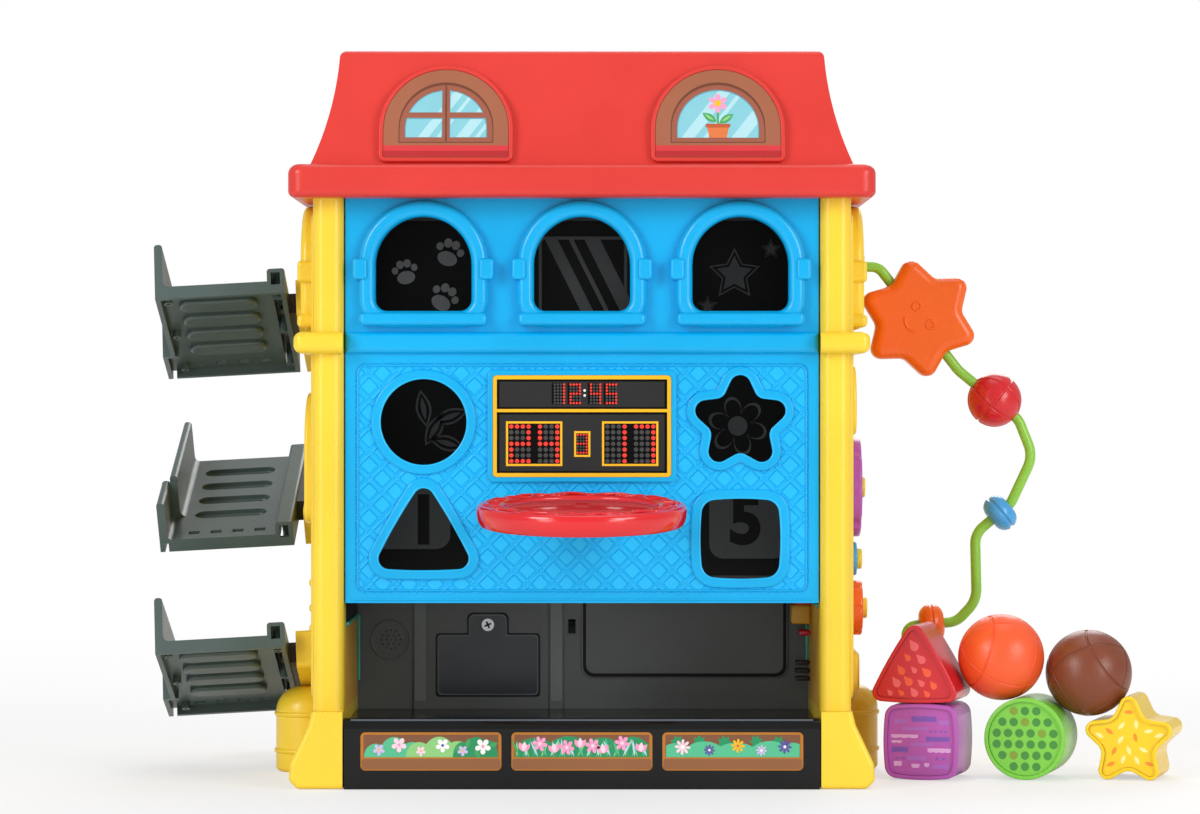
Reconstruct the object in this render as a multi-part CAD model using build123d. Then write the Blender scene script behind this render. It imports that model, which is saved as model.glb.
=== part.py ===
"""Activity house for small children: shape sorter, ball run, bead wire, spinners and play pieces.

Millimetres. X runs to the right along the shape-sorter face, Y runs away from that face, Z runs up.
The origin lies on the floor under the middle of the house. Every piece is written to parts/ on its own.
"""
import os
from math import atan2, cos, degrees, hypot, pi, radians, sin, sqrt

from build123d import *

os.makedirs("parts", exist_ok=True)

# House body
panel_width = 284.0          # blue panels, between the corner columns
panel_seam = 0.8             # shadow gap between a panel and its columns
column_width = 18.7
column_round = 7.0
house_depth = 272.0          # over the column faces
panel_setback = 6.0          # panel faces lie this far behind the column faces
eave_height = 353.0          # top of the walls
wall = 2.8                   # moulded skin of the side walls
skin = 2.6                   # moulded skin of the panels and housings
return_depth = 18.0          # side returns of the blue panels
flange_depth = 24.0          # inner faces of the columns
snug = 0.2                   # gap round a plate that is set into an opening
seat_gap = 0.3               # gap where a loose piece rests on another

# Roof
eave_band_height = 20.0
eave_overhang = 14.0         # band beyond the column faces, all round
roof_rise = 72.0             # ridge above the eave band
roof_foot_overhang = 2.9     # sloping faces beyond the columns at their foot
roof_taper = 17.9            # how far the faces lean in
roof_dish = 2.7              # how far the faces curve in between foot and top
roof_crown = 2.5             # rise of the top across its width
roof_skin = 3.0

# Dormers
dormer_width = 75.0
dormer_height = 55.6
dormer_spacing = 163.0
dormer_sill_rise = 4.0       # foot of the dormer above the eave band
dormer_rim = 2.6
dormer_rim_height = 1.8
plate_thickness = 0.8        # printed plates

# Windows of the panels
window_width = 57.6
window_height = 56.4
window_corner = 7.0
window_foot = 285.6          # foot of the openings above the floor
window_pitch = 95.0
frame_width = 10.0
frame_height = 7.0
sill_width = 77.0
sill_height = 8.0
block_width = 9.0
block_height = 13.0
block_rise = 18.5            # underside of the side blocks above the window foot

# Belt round the house
belt_bottom = 260.0
belt_height = 13.0
belt_on_panel = 4.0
belt_on_wall = 11.0
belt_round = 5.0

# Shape sorter
panel_bottom = 110.4
quilt_width = 272.0
quilt_bottom = 116.4
quilt_top = 254.4
quilt_depth = 1.4
quilt_corner = 6.0
shape_offset = 95.0          # hole centres to the left and right of the middle
upper_shape_height = 219.0
lower_shape_height = 149.0
circle_hole_radius = 26.4
square_hole_width = 49.3
square_corner = 9.0
square_bulge = 1.6
triangle_radius = 36.2       # centre of the triangle to its sharp corners
triangle_corner = 7.0
triangle_bulge = 1.5
star_radius = 38.5           # centre of the star to its sharp tips
star_waist = 18.5            # centre of the star to the notches
star_tip_round = 7.0
star_notch_round = 6.0
hole_rim = 5.2
hole_rim_height = 2.6
hole_rim_round = 1.2
shape_clearance = 1.3        # play piece to its hole, all round

# Scoreboard
score_width = 107.0
score_height = 61.0
score_centre_height = 216.5
bezel_border = 3.3
bezel_height = 2.8
plate_inset = 0.4            # printed plate behind the face of its bezel

# Hoop
hoop_outer_radius = 61.5
hoop_inner_radius = 45.0
hoop_height = 13.0
hoop_skin = 4.0
hoop_tilt = 5.0
hoop_centre_height = 165.0
hoop_wall_gap = 4.0
hoop_arm_width = 34.0
hoop_arm_height = 8.0
socket_wall = 3.0
hoop_arm_reach = 3.0         # how far the arm's end stands out behind the panel

# Base
base_height = 42.0
base_overhang = 10.0         # beyond the column faces, front and back
base_floor = 37.0            # floor of the bay above the ground
base_skin = 3.0
base_rim_round = 6.0
base_rib = 4.0               # ribs under the base, down to the floor
base_rib_pitch = 70.0
base_lip = 13.0              # width of the raised front and back edges of the base
foot_flare = 13.5
foot_depth = 42.0
planter_width = 84.0
planter_height = 22.7
planter_pitch = 90.0
planter_bottom = 11.3

# Side wall reliefs
bow_height = 3.5
bow_half_depth = 98.0
bow_bottom = 50.0
bow_top = 346.0
bow_round = 2.5
side_window_spacing = 104.0
side_arch_foot = 186.0
stud_radius = 3.0
barrel_height = 53.0
barrel_ring = 1.6
barrel_hoops = (13.0, 36.0)
right_barrel_radius = 18.0
left_barrel_radius = 20.0
right_barrel_out = 186.0     # outermost point of the right barrel
left_barrel_out = 192.4
left_barrel_y = -15.0
left_stud_heights = (92.0, 104.5, 120.0)
left_stud_y = -70.0

# Ball run on the left wall
ramp_width = 80.0
ramp_length = 140.0
ramp_slope = 20.0
ramp_droop = 3.3
ramp_floor = 2.4
ramp_skirt = 8.0
parapet_height = 28.0
parapet_thickness = 5.0
kerb_height = 8.2
kerb_width = 11.0
mouth_length = 40.0
mouth_step = 5.0
mouth_parapet = 25.0
ramp_rib = 3.0               # skirts and end ribs
pocket_count = 4
pocket_length = 46.0
pocket_width = 12.0
pocket_depth = 4.0
pocket_pitch = 25.0
pocket_first = 24.0          # high end to the middle of the first pocket
slot_count = 4
slot_pitch = 14.0
ramp_inner_x = -183.2        # face of the ramps towards the house
clip_thickness = 5.5
clip_length = 62.0
clip_height = 13.0
peg_radius = 3.0
peg_length = 6.0
bracket_length = 104.0
bracket_height = 24.0
# Each ramp: name, Y and Z of the middle of its floor, and 1 where its far end is the low one
ramp_places = [("top_ramp", 0.0, 282.0, 1), ("middle_ramp", 72.0, 172.0, -1), ("bottom_ramp", 1.0, 64.0, 1)]

# Bead wire on the right wall
wire_diameter = 6.5
wire_socket_x = 177.5        # where the wire leaves its upper socket
wire_top = 316.5
wire_bottom = 46.3
bead_play = 0.5              # bead bore to wire, on the radius
wire_route = [
    (186.5, wire_top, 9.0), (237.0, 251.0, 20.0), (275.0, 220.0, 14.0), (284.0, 197.0, 18.0),
    (270.0, 167.0, 14.0), (247.5, 148.0, 14.0), (248.5, 106.0, 18.0), (236.0, 92.5, 14.0),
    (200.5, 89.5, 7.0), (215.5, 58.0, 8.0), (207.0, wire_bottom, 8.0),
]
sun_tip_radius = 36.4
sun_notch_radius = 27.0
sun_thickness = 24.0
sun_edge = 6.0               # soft rim of the sun
sun_turn = 28.5              # how far its tips are turned about the middle
red_bead_radius = 17.0
blue_bead_radius = 12.0
blue_bead_length = 15.0
orange_bead_radius = 12.5
orange_bead_length = 15.5

# Spinners on the right wall
axle_radius = 3.0
axle_clearance = 0.15
axle_head_radius = 6.5
axle_head_height = 3.0
washer_radius = 7.0
washer_thickness = 2.4
# Each spinner: name, Y, Z, radius, thickness, number of scallops
spinner_places = [
    ("purple_spinner", -30.0, 178.0, 31.0, 6.0, 8),
    ("blue_roller", -30.0, 133.5, 10.5, 4.0, 6),
    ("orange_spinner", -34.0, 103.0, 17.0, 7.0, 6),
]

# Inner housing
partition_y = 10.0           # face of the partition
partition_thickness = 3.0
housing_depth = 52.0
housing_height = 150.0
rib_width = 8.2
rib_height = 1.6
rib_top = 112.0
rib_places = (-102.9, -16.8)
sign_width = 131.0           # raised blank label field on the back wall of the bay
sign_height = 64.0
sign_x = 64.4
sign_z = 88.3
sign_proud = 1.2
boss_radius = 4.0
board_width = 110.0
board_height = 70.0
board_x = 60.0
board_z = 100.0
board_thickness = 1.6
speaker_x = -121.6
speaker_z = 80.6
speaker_radius = 14.0
speaker_depth = 12.0
grille_hole = 1.6
grille_pitch = 3.0

# Battery compartment for two AA cells
cell_radius = 7.1
cell_length = 50.5
cell_spacing = 15.5
door_width = 65.7
door_height = 40.0
door_centre_x = -60.2
door_bottom = 44.6
door_thickness = 2.2
door_proud = 0.4
door_ledge = 3.0
tab_width = 26.0
tab_height = 13.0
compartment_depth = 22.0
contact_thickness = 0.8
screw_head_radius = 3.9
screw_head_height = 2.4
screw_radius = 1.5
screw_bite = 5.0             # thread beyond the skin that a screw bites into

# Slide switch
switch_x = -7.0
switch_z = 87.0
switch_width = 4.0
switch_height = 4.5
switch_travel = 4.0

# Far panel with its door and keys
far_door_width = 72.0
far_door_height = 120.0
far_door_x = -48.0
far_door_gap = 1.2
far_door_thickness = 3.0
hinge_radius = 3.6
hinge_pin_radius = 1.6
hinge_standoff = 4.0
hinge_play = 0.1
key_width = 24.0
key_height = 36.0
key_pitch = 31.0
key_centre_x = 73.0
key_centre_z = 84.0
key_proud = 6.0
key_flange = 2.0
key_travel = 3.0
key_gap = 0.4
dome_height = 2.2            # rubber dome under a key, short of the pressed key
bell_radius = 9.0
bell_x = 16.0
bell_z = 140.0

# Play pieces, standing on the floor at the right
ball_radius = 26.5
ball_groove = 0.8
ball_skin = 2.2
block_depth = 46.0
block_skin = 2.4
block_recess = 2.5
block_turn = -16.0
play_row_y = -62.0
play_first_x = 213.0
play_pitch = 63.5
stack_gap = 0.3

# Values that follow from the driving dimensions
panel_x = panel_width / 2
column_in = panel_x + panel_seam
column_out = column_in + column_width
column_front = house_depth / 2
panel_front = column_front - panel_setback
flange_back = column_front - flange_depth
eave_x = column_out + eave_overhang
eave_y = column_front + eave_overhang
eave_top = eave_height + eave_band_height
base_front = column_front + base_overhang
bow_face = column_out + bow_height
spinner_pad_height = 1.5
spinner_stand = spinner_pad_height + seat_gap
hoop_socket_half = hoop_arm_width / 2 + socket_wall
hoop_root_y = -panel_front - hoop_wall_gap
hoop_centre_y = hoop_root_y - hoop_outer_radius
hoop_arm_z = hoop_centre_height + hoop_outer_radius * sin(radians(hoop_tilt))
dormer_lean = degrees(atan2(roof_taper, roof_rise * 0.83 + 4))
dormer_foot_y = -(column_front + roof_foot_overhang) + 1.6
dormer_places = [(side, i * dormer_spacing / 2) for side in (-1, 1) for i in (-1, 1)]
roof_screw_places = [(x, y) for x in (-1, 1) for y in (-1, 1)]
roof_screw_x = column_in + column_width / 2
roof_screw_y = column_front - flange_depth / 2
bead_bore = wire_diameter / 2 + bead_play
compartment_half = cell_length / 2 + 3.2
compartment_low = door_bottom + door_ledge
compartment_high = door_bottom + door_height - door_ledge
door_centre_z = door_bottom + door_height / 2
door_screw_z = door_bottom + door_height + tab_height * 0.42
cell_y = partition_y + compartment_depth - cell_radius - seat_gap
cell_heights = [door_centre_z + i * cell_spacing / 2 for i in (-1, 1)]
board_y = partition_y + 26.0
board_posts = [(board_x + i * (board_width / 2 - 7), board_z + j * (board_height / 2 - 7))
               for i in (-1, 1) for j in (-1, 1)]
housing_screw_places = [(i * 132, z) for i in (-1, 1)
                        for z in (base_floor + 10, base_floor + housing_height - 10)]
door_pivot_x = far_door_x - far_door_width / 2 - 0.4
door_pivot_y = panel_front + hinge_standoff
lug_heights = [(base_floor + 14, base_floor + 22), (base_floor + 72, base_floor + 80)]
door_barrel = (lug_heights[0][1] + seat_gap, lug_heights[1][0] - seat_gap)
pin_ends = (lug_heights[0][0] + 2, lug_heights[1][1] - 2)
key_places = [("left_key", key_centre_x + key_pitch), ("middle_key", key_centre_x),
              ("right_key", key_centre_x - key_pitch)]
key_inner_face = panel_front - skin - quilt_depth
dome_end = key_inner_face - key_flange - key_travel - 2 * seat_gap
key_board_y = dome_end - dome_height - board_thickness
key_post_places = [(key_centre_x + i * (1.5 * key_pitch + 3), key_centre_z + j * 20)
                   for i in (-1, 1) for j in (-1, 1)]

FRONT = dict(x_dir=(1, 0, 0), z_dir=(0, -1, 0))
BACK = dict(x_dir=(-1, 0, 0), z_dir=(0, 1, 0))
RIGHT = dict(x_dir=(0, 1, 0), z_dir=(1, 0, 0))
LEFT = dict(x_dir=(0, -1, 0), z_dir=(-1, 0, 0))


def box_between(low, high):
    """A box from its lowest to its highest corner."""
    size = [b - a for a, b in zip(low, high)]
    centre = [(a + b) / 2 for a, b in zip(low, high)]
    return Pos(*centre) * Box(*size)


def on_face(facing, x, y, z, shape):
    """Put a shape drawn with Z outwards and Y up on a face of the house."""
    return Plane(origin=(x, y, z), **facing).location * shape


def raised(outline, height, edge_round, sink=0.6):
    """A flat relief with a rounded rim, standing on the local XY plane and rooted below it."""
    solid = extrude(outline, amount=height)
    solid = fillet(solid.edges().group_by(Axis.Z)[-1], edge_round)
    return solid + extrude(outline, amount=-sink)


def prism(outline, height, depth=0.0):
    """An outline extruded from depth below the local XY plane to height above it."""
    return Pos(0, 0, -depth) * extrude(outline, amount=height + depth)


def tube(radius, low, high, axis="z"):
    """A plain round bar between two stations on the local axis."""
    bar = Pos(0, 0, (low + high) / 2) * Cylinder(radius, high - low)
    turns = {"z": Rot(0, 0, 0), "x": Rot(0, 90, 0), "y": Rot(-90, 0, 0)}
    return turns[axis] * bar


def write(name, shape):
    """Write one piece to its own file."""
    shape.label = name
    export_step(shape, f"parts/{name}.step")


def group(solids):
    """Identical separate solids in one node."""
    return Compound(children=list(solids))


def arch(width, height, corner):
    """A round-headed outline standing on the local X axis."""
    straight = height - width / 2
    body = Pos(0, straight / 2) * Rectangle(width, straight) + Pos(0, straight) * Circle(width / 2)
    body -= Pos(0, -width) * Rectangle(2 * width, 2 * width)
    return fillet(body.vertices().group_by(Axis.Y)[0], corner)


def circle_shape(shrink=0.0):
    return Circle(circle_hole_radius - shrink)


def bulged_polygon(corners, bulge, corner_round):
    """A closed outline whose sides bow outwards by bulge and whose corners are rounded."""
    sides = []
    for start, end in zip(corners, corners[1:] + corners[:1]):
        middle = ((start[0] + end[0]) / 2, (start[1] + end[1]) / 2)
        reach = hypot(*middle)
        swell = (reach + bulge) / reach
        sides.append(ThreePointArc(start, (middle[0] * swell, middle[1] * swell), end))
    face = make_face(Wire(sides))
    return fillet(face.vertices(), corner_round)


def square_shape(shrink=0.0):
    half = square_hole_width / 2 - square_bulge - shrink
    corners = [(-half, -half), (half, -half), (half, half), (-half, half)]
    return bulged_polygon(corners, square_bulge, square_corner - shrink)


def triangle_shape(shrink=0.0):
    reach = triangle_radius - 2 * shrink
    corners = [(reach * cos(radians(a)), reach * sin(radians(a))) for a in (-150, -30, 90)]
    return bulged_polygon(corners, triangle_bulge, triangle_corner - shrink)


def star_shape(shrink=0.0):
    """Five round lobes: a star whose tips and notches are both rounded."""
    tip = star_radius - 2.2 * shrink
    notch = star_waist - 1.1 * shrink
    corners = []
    for i in range(10):
        reach = tip if i % 2 == 0 else notch
        angle = radians(90 + 36 * i)
        corners.append((reach * cos(angle), reach * sin(angle)))
    face = make_face(Polyline(*corners, close=True))
    notches = [v for v in face.vertices() if hypot(v.X, v.Y) < (tip + notch) / 2]
    face = fillet(notches, star_notch_round + shrink)
    tips = [v for v in face.vertices() if hypot(v.X, v.Y) > tip - 1]
    return fillet(tips, star_tip_round - shrink)


# Hole centre of each shape on the sorter panel, as X, Z and outline
sorter_shapes = [
    (-shape_offset, upper_shape_height, circle_shape),
    (-shape_offset, lower_shape_height, triangle_shape),
    (shape_offset, upper_shape_height, star_shape),
    (shape_offset, lower_shape_height, square_shape),
]


def window_relief():
    """Moulded frame, sill and side blocks of one arched window, its foot centred on the origin."""
    opening = arch(window_width, window_height, window_corner)
    ring = offset(opening, amount=frame_width) - opening
    relief = raised(ring, frame_height, frame_width * 0.4)
    sill = Pos(0, -sill_height / 2 - 1) * RectangleRounded(sill_width, sill_height, sill_height * 0.4)
    relief += raised(sill, frame_height + 2, sill_height * 0.35)
    block = RectangleRounded(block_width, block_height, 2.5)
    for side in (-1, 1):
        place = Pos(side * (window_width / 2 + frame_width - 1), block_rise + block_height / 2)
        relief += raised(place * block, frame_height + 1.5, 2.0)
    return relief


def panel_tray(bottom):
    """Blue panel with its returns, windows and belt, facing the viewer."""
    low = (-panel_x, -panel_front, bottom)
    high = (panel_x, -panel_front + return_depth, eave_height)
    tray = box_between(low, high)
    inside_low = (low[0] + skin, low[1] + skin + quilt_depth, low[2] + skin)
    inside_high = (high[0] - skin, high[1] + 1, high[2] - skin)
    tray -= box_between(inside_low, inside_high)
    opening = arch(window_width, window_height, window_corner)
    relief = window_relief()
    for i in (-1, 0, 1):
        x = i * window_pitch
        tray -= on_face(FRONT, x, -panel_front, window_foot, prism(opening, 10, 10))
        tray += on_face(FRONT, x, -panel_front, window_foot, relief)
    belt = raised(Rectangle(panel_width, belt_height), belt_on_panel, belt_on_panel * 0.9)
    tray += on_face(FRONT, 0, -panel_front, belt_bottom + belt_height / 2, belt)
    return tray


def panel_screw_places(face_y):
    """Y and Z of the screws that hold a panel's returns to the column flanges."""
    y = face_y + (return_depth + skin) / 2 if face_y < 0 else face_y - (return_depth + skin) / 2
    return [(y, z) for z in (panel_bottom + 20, belt_bottom - 25, eave_height - 14)]


def side_screw(side, y, z, inner_x):
    """A screw driven outwards along X, its head seated on the face at inner_x."""
    head = tube(screw_head_radius, inner_x - screw_head_height, inner_x, "x")
    shank = tube(screw_radius, inner_x, column_in + wall + screw_bite, "x")
    screw = Pos(0, y, z) * (head + shank)
    return screw if side > 0 else mirror(screw, about=Plane.YZ)


def side_hole(side, y, z):
    """The bore that a side screw fills."""
    hole = Pos(0, y, z) * tube(screw_radius, panel_x - 10, column_in + wall + screw_bite, "x")
    return hole if side > 0 else mirror(hole, about=Plane.YZ)


def hoop_arm_outline():
    return RectangleRounded(hoop_arm_width, hoop_arm_height, 2)


def sorter_panel():
    panel = panel_tray(panel_bottom)
    face = -panel_front
    middle = (quilt_bottom + quilt_top) / 2
    field = RectangleRounded(quilt_width, quilt_top - quilt_bottom, quilt_corner)
    panel -= on_face(FRONT, 0, face, middle, prism(field, 5, quilt_depth))
    floor = face + quilt_depth
    bezel = RectangleRounded(score_width + 2 * bezel_border, score_height + 2 * bezel_border, 4)
    panel += on_face(FRONT, 0, floor, score_centre_height, raised(bezel, bezel_height, 1.0))
    pocket = RectangleRounded(score_width + 2 * snug, score_height + 2 * snug, 2.5)
    pocket_face = bezel_height - plate_inset - plate_thickness
    panel -= on_face(FRONT, 0, floor - pocket_face, score_centre_height, prism(pocket, 5))
    for x, z, outline in sorter_shapes:
        panel += on_face(FRONT, x, floor, z, raised(outline(-hole_rim), hole_rim_height, hole_rim_round))
        panel -= on_face(FRONT, x, floor, z, prism(outline(), 10, 10))
    collar = RectangleRounded(2 * hoop_socket_half, hoop_arm_height + 2 * socket_wall, 4)
    panel += on_face(FRONT, 0, floor, hoop_arm_z, raised(collar, hoop_wall_gap, 1.2))
    panel -= on_face(FRONT, 0, floor, hoop_arm_z, prism(hoop_arm_outline(), 10, 10))
    for side in (-1, 1):
        for y, z in panel_screw_places(face):
            panel -= side_hole(side, y, z)
    return panel


def hoop():
    """Ring with a flat lip and an outer skirt, on an arm that plugs into the sorter panel."""
    lip = hoop_height / 2
    section = Polyline(
        (hoop_inner_radius, lip), (hoop_outer_radius, lip), (hoop_outer_radius, -lip),
        (hoop_outer_radius - hoop_skin, -lip), (hoop_outer_radius - hoop_skin, lip - hoop_skin),
        (hoop_inner_radius, lip - hoop_skin), close=True)
    face = make_face(section)
    soft = [v for v in face.vertices() if v.Y > lip - 0.1]
    face = fillet(soft, hoop_skin * 0.4)
    ring = revolve(Plane.XZ * face, axis=Axis.Z)
    ring = Pos(0, hoop_centre_y, hoop_centre_height) * (Rot(hoop_tilt, 0, 0) * ring)
    arm_start = hoop_root_y - hoop_skin / 2
    arm_end = -panel_front + quilt_depth + skin + hoop_arm_reach
    section = Plane.XZ.offset(-arm_end) * (Pos(0, hoop_arm_z) * hoop_arm_outline())
    return ring + extrude(section, amount=arm_end - arm_start)


def roof_face(half, top, foot, taper):
    """Cross-section of the roof: dished sides that lean in, under a slightly crowned top."""
    shoulder = top - (top - foot) * 0.17
    right = half - taper
    side_middle = half - taper / 2 - roof_dish
    height = (foot + shoulder) / 2
    crown_edge = top - roof_crown
    right_side = ThreePointArc((half, foot), (side_middle, height), (right, shoulder))
    right_lip = Line((right, shoulder), (right - 1, crown_edge))
    crown = ThreePointArc((right - 1, crown_edge), (0, top), (1 - right, crown_edge))
    left_lip = Line((1 - right, crown_edge), (-right, shoulder))
    left_side = ThreePointArc((-right, shoulder), (-side_middle, height), (-half, foot))
    base = Line((-half, foot), (half, foot))
    face = make_face(Wire([right_side, right_lip, crown, left_lip, left_side, base]))
    rims = [v for v in face.vertices() if abs(v.Y - crown_edge) < 0.01]
    return fillet(rims, 4.5)


def roof_form(inset):
    """The roof above the eave band, shrunk by inset on every face."""
    half_x = column_out + roof_foot_overhang - inset
    half_y = column_front + roof_foot_overhang - inset
    top = eave_top + roof_rise - inset
    foot = eave_top - 4
    across = Plane.XZ.offset(-half_y) * roof_face(half_x, top, foot, roof_taper)
    along = Plane.YZ.offset(-half_x) * roof_face(half_y, top, foot, roof_taper)
    return extrude(across, amount=2 * half_y) & extrude(along, amount=2 * half_x)


def dormer_plane(side, x):
    """Plane of a dormer on the front (side -1) or far (side 1) slope, at its foot."""
    lean = radians(dormer_lean)
    origin = (x, -side * dormer_foot_y, eave_top + dormer_sill_rise)
    return Plane(origin=origin, x_dir=(-side, 0, 0), z_dir=(0, side * cos(lean), sin(lean)))


def dormer_outline():
    return arch(dormer_width, dormer_height, 1.5)


def dormer_pad():
    """Raised bed for a dormer plate, with a rim round it."""
    outline = dormer_outline()
    outer = offset(outline, amount=dormer_rim)
    bed = prism(outer, 0.2, 7)
    ring = raised(outer - offset(outline, amount=snug), dormer_rim_height, 0.7)
    return bed + ring


def roof_shell():
    band = box_between((-eave_x, -eave_y, eave_height), (eave_x, eave_y, eave_top))
    band = fillet(band.edges().filter_by(Axis.Z), 9)
    band = fillet(band.edges().group_by(Axis.Z)[-1], 6)
    band = fillet(band.edges().group_by(Axis.Z)[0], 4)
    shell = band + roof_form(0)
    pad = dormer_pad()
    for side, x in dormer_places:
        shell += dormer_plane(side, x).location * pad
    shell -= roof_form(roof_skin)
    room_x, room_y = eave_x - roof_skin, eave_y - roof_skin
    shell -= box_between((-room_x, -room_y, eave_height + roof_skin), (room_x, room_y, eave_top - roof_skin))
    hatch_x = column_in - 6
    hatch_y = panel_front - 8
    shell -= box_between((-hatch_x, -hatch_y, eave_height - 1), (hatch_x, hatch_y, eave_top))
    for x, y in roof_screw_places:
        place = Pos(x * roof_screw_x, y * roof_screw_y, 0)
        boss = tube(boss_radius, eave_height + roof_skin / 2, eave_height + 14)
        shell += place * boss
        shell -= place * tube(screw_radius, eave_height - 1, eave_height + 10)
    return shell


def dormer_plate(side, x):
    plate = extrude(dormer_outline(), amount=plate_thickness)
    return dormer_plane(side, x).location * (Pos(0, 0, 0.2) * plate)


def wall_foot():
    """Flared foot of one corner, front right, hollow underneath."""
    out = column_out + foot_flare
    points = [(column_in, 0), (out - 5, 0), (out, 5), (out - 0.6, 15), (column_out + 2, 38),
              (column_out, 46), (column_in, 46)]
    face = make_face(Polyline(*points, close=True))
    rounds = [v for v in face.vertices() if v.X > column_out + 1.5]
    face = fillet(rounds, 4)
    front = base_front
    foot = extrude(Plane.XZ.offset(front - foot_depth) * face, amount=foot_depth)
    foot = fillet(foot.edges().group_by(Axis.Y)[0].filter_by(lambda e: e.center().X > column_out), 3)
    low = (column_in + wall, -front + wall, -1)
    return foot - box_between(low, (column_out + 4, -front + foot_depth - wall, 30))


def barrel(radius):
    """A round butt with two hoops and a domed head, standing on the floor."""
    dome = radius * 0.72
    side = barrel_height - dome
    edges = [Line((0, 0), (radius - 2, 0)), Line((radius - 2, 0), (radius, 2))]
    level = 2
    for z in barrel_hoops:
        edges.append(Line((radius, level), (radius, z - barrel_ring)))
        swell = (radius + 0.7 * barrel_ring, z)
        edges.append(ThreePointArc((radius, z - barrel_ring), swell, (radius, z + barrel_ring)))
        level = z + barrel_ring
    edges.append(Line((radius, level), (radius, side)))
    edges.append(ThreePointArc((radius, side), (0.74 * radius, side + 0.72 * dome), (2, barrel_height)))
    edges.append(Line((2, barrel_height), (0, barrel_height)))
    edges.append(Line((0, barrel_height), (0, 0)))
    return revolve(Plane.XZ * make_face(Wire(edges)), axis=Axis.Z)


def common_wall():
    """What both side walls share, drawn as the right wall."""
    shell = box_between((column_in, -column_front, 0), (column_out, column_front, eave_height))
    shell = fillet(shell.edges().filter_by(Axis.Z), column_round)
    bow = raised(RectangleRounded(2 * bow_half_depth, bow_top - bow_bottom, 10), bow_height, bow_round)
    shell += on_face(RIGHT, column_out, 0, (bow_top + bow_bottom) / 2, bow)
    relief = window_relief()
    for i in (-1, 1):
        shell += on_face(RIGHT, bow_face, i * side_window_spacing / 2, window_foot, relief)
    out = column_out + belt_on_wall
    reach = column_front + belt_on_wall - 3
    belt = box_between((column_in, -reach, belt_bottom), (out, reach, belt_bottom + belt_height))
    outer_edges = [e for e in belt.edges() if e.center().X > out - 0.1 or abs(e.center().Y) > reach - 0.1]
    shell += fillet([e for e in outer_edges if abs(e.center().X - column_in) > 0.1], belt_round)
    foot = wall_foot()
    shell += foot
    shell += mirror(foot, about=Plane.XZ)
    return shell


def hollow_wall(shell):
    """Hollow a side wall, open its inner side and drill it for its screws."""
    inner = column_out - wall
    reach = column_front - wall
    shell -= box_between((column_in + wall, -reach, wall), (inner, reach, eave_height - wall))
    reach = bow_half_depth - wall
    shell -= box_between((inner - 1, -reach, bow_bottom + wall), (bow_face - wall, reach, bow_top - wall))
    low = (column_in - 1, -flange_back, base_height + 4)
    shell -= box_between(low, (column_in + wall + 0.1, flange_back, eave_height - 8))
    for face in (-panel_front, panel_front):
        for y, z in panel_screw_places(face):
            shell -= side_hole(1, y, z)
    for y in (-roof_screw_y, roof_screw_y):
        shell -= side_hole(1, y, base_floor / 2)
        shell -= Pos(roof_screw_x, y, 0) * tube(screw_radius, eave_height - 5, eave_height + 1)
    return shell


def ramp_frame(y, z, far_low):
    """Location of a ramp: X to the house, Y along the run, Z up from the floor of the channel."""
    return Pos(ramp_inner_x, y, z) * Rot(-far_low * ramp_slope, 0, 0) * Rot(0, -ramp_droop, 0)


def left_wall():
    """Left side wall with the brackets of the ball run."""
    shell = mirror(common_wall(), about=Plane.YZ)
    shell += Pos(-left_barrel_out + left_barrel_radius, left_barrel_y, 0) * barrel(left_barrel_radius)
    for name, y, z, far_low in ramp_places:
        low = (clip_thickness, -bracket_length / 2, -bracket_height + kerb_height)
        high = (-ramp_inner_x - column_out + 1.8, bracket_length / 2, kerb_height)
        block = box_between(low, high)
        block = fillet(block.edges().filter_by(Axis.X), 3)
        shell += ramp_frame(y, z, far_low) * block
    arch_ring = arch(62, 66, 4)
    arch_ring = offset(arch_ring, amount=7) - arch_ring
    shell += on_face(LEFT, -bow_face, -48, side_arch_foot - 22, raised(arch_ring, 5, 2))
    for z in left_stud_heights:
        shell += Pos(-bow_face, left_stud_y, z) * Sphere(stud_radius)
    shell = mirror(hollow_wall(mirror(shell, about=Plane.YZ)), about=Plane.YZ)
    bore = tube(peg_radius, clip_thickness - 1, clip_thickness + peg_length, "x")
    for name, y, z, far_low in ramp_places:
        for i in (-1, 1):
            shell -= ramp_frame(y, z, far_low) * (Pos(0, i * clip_length / 3, 0) * bore)
    return shell


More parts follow.
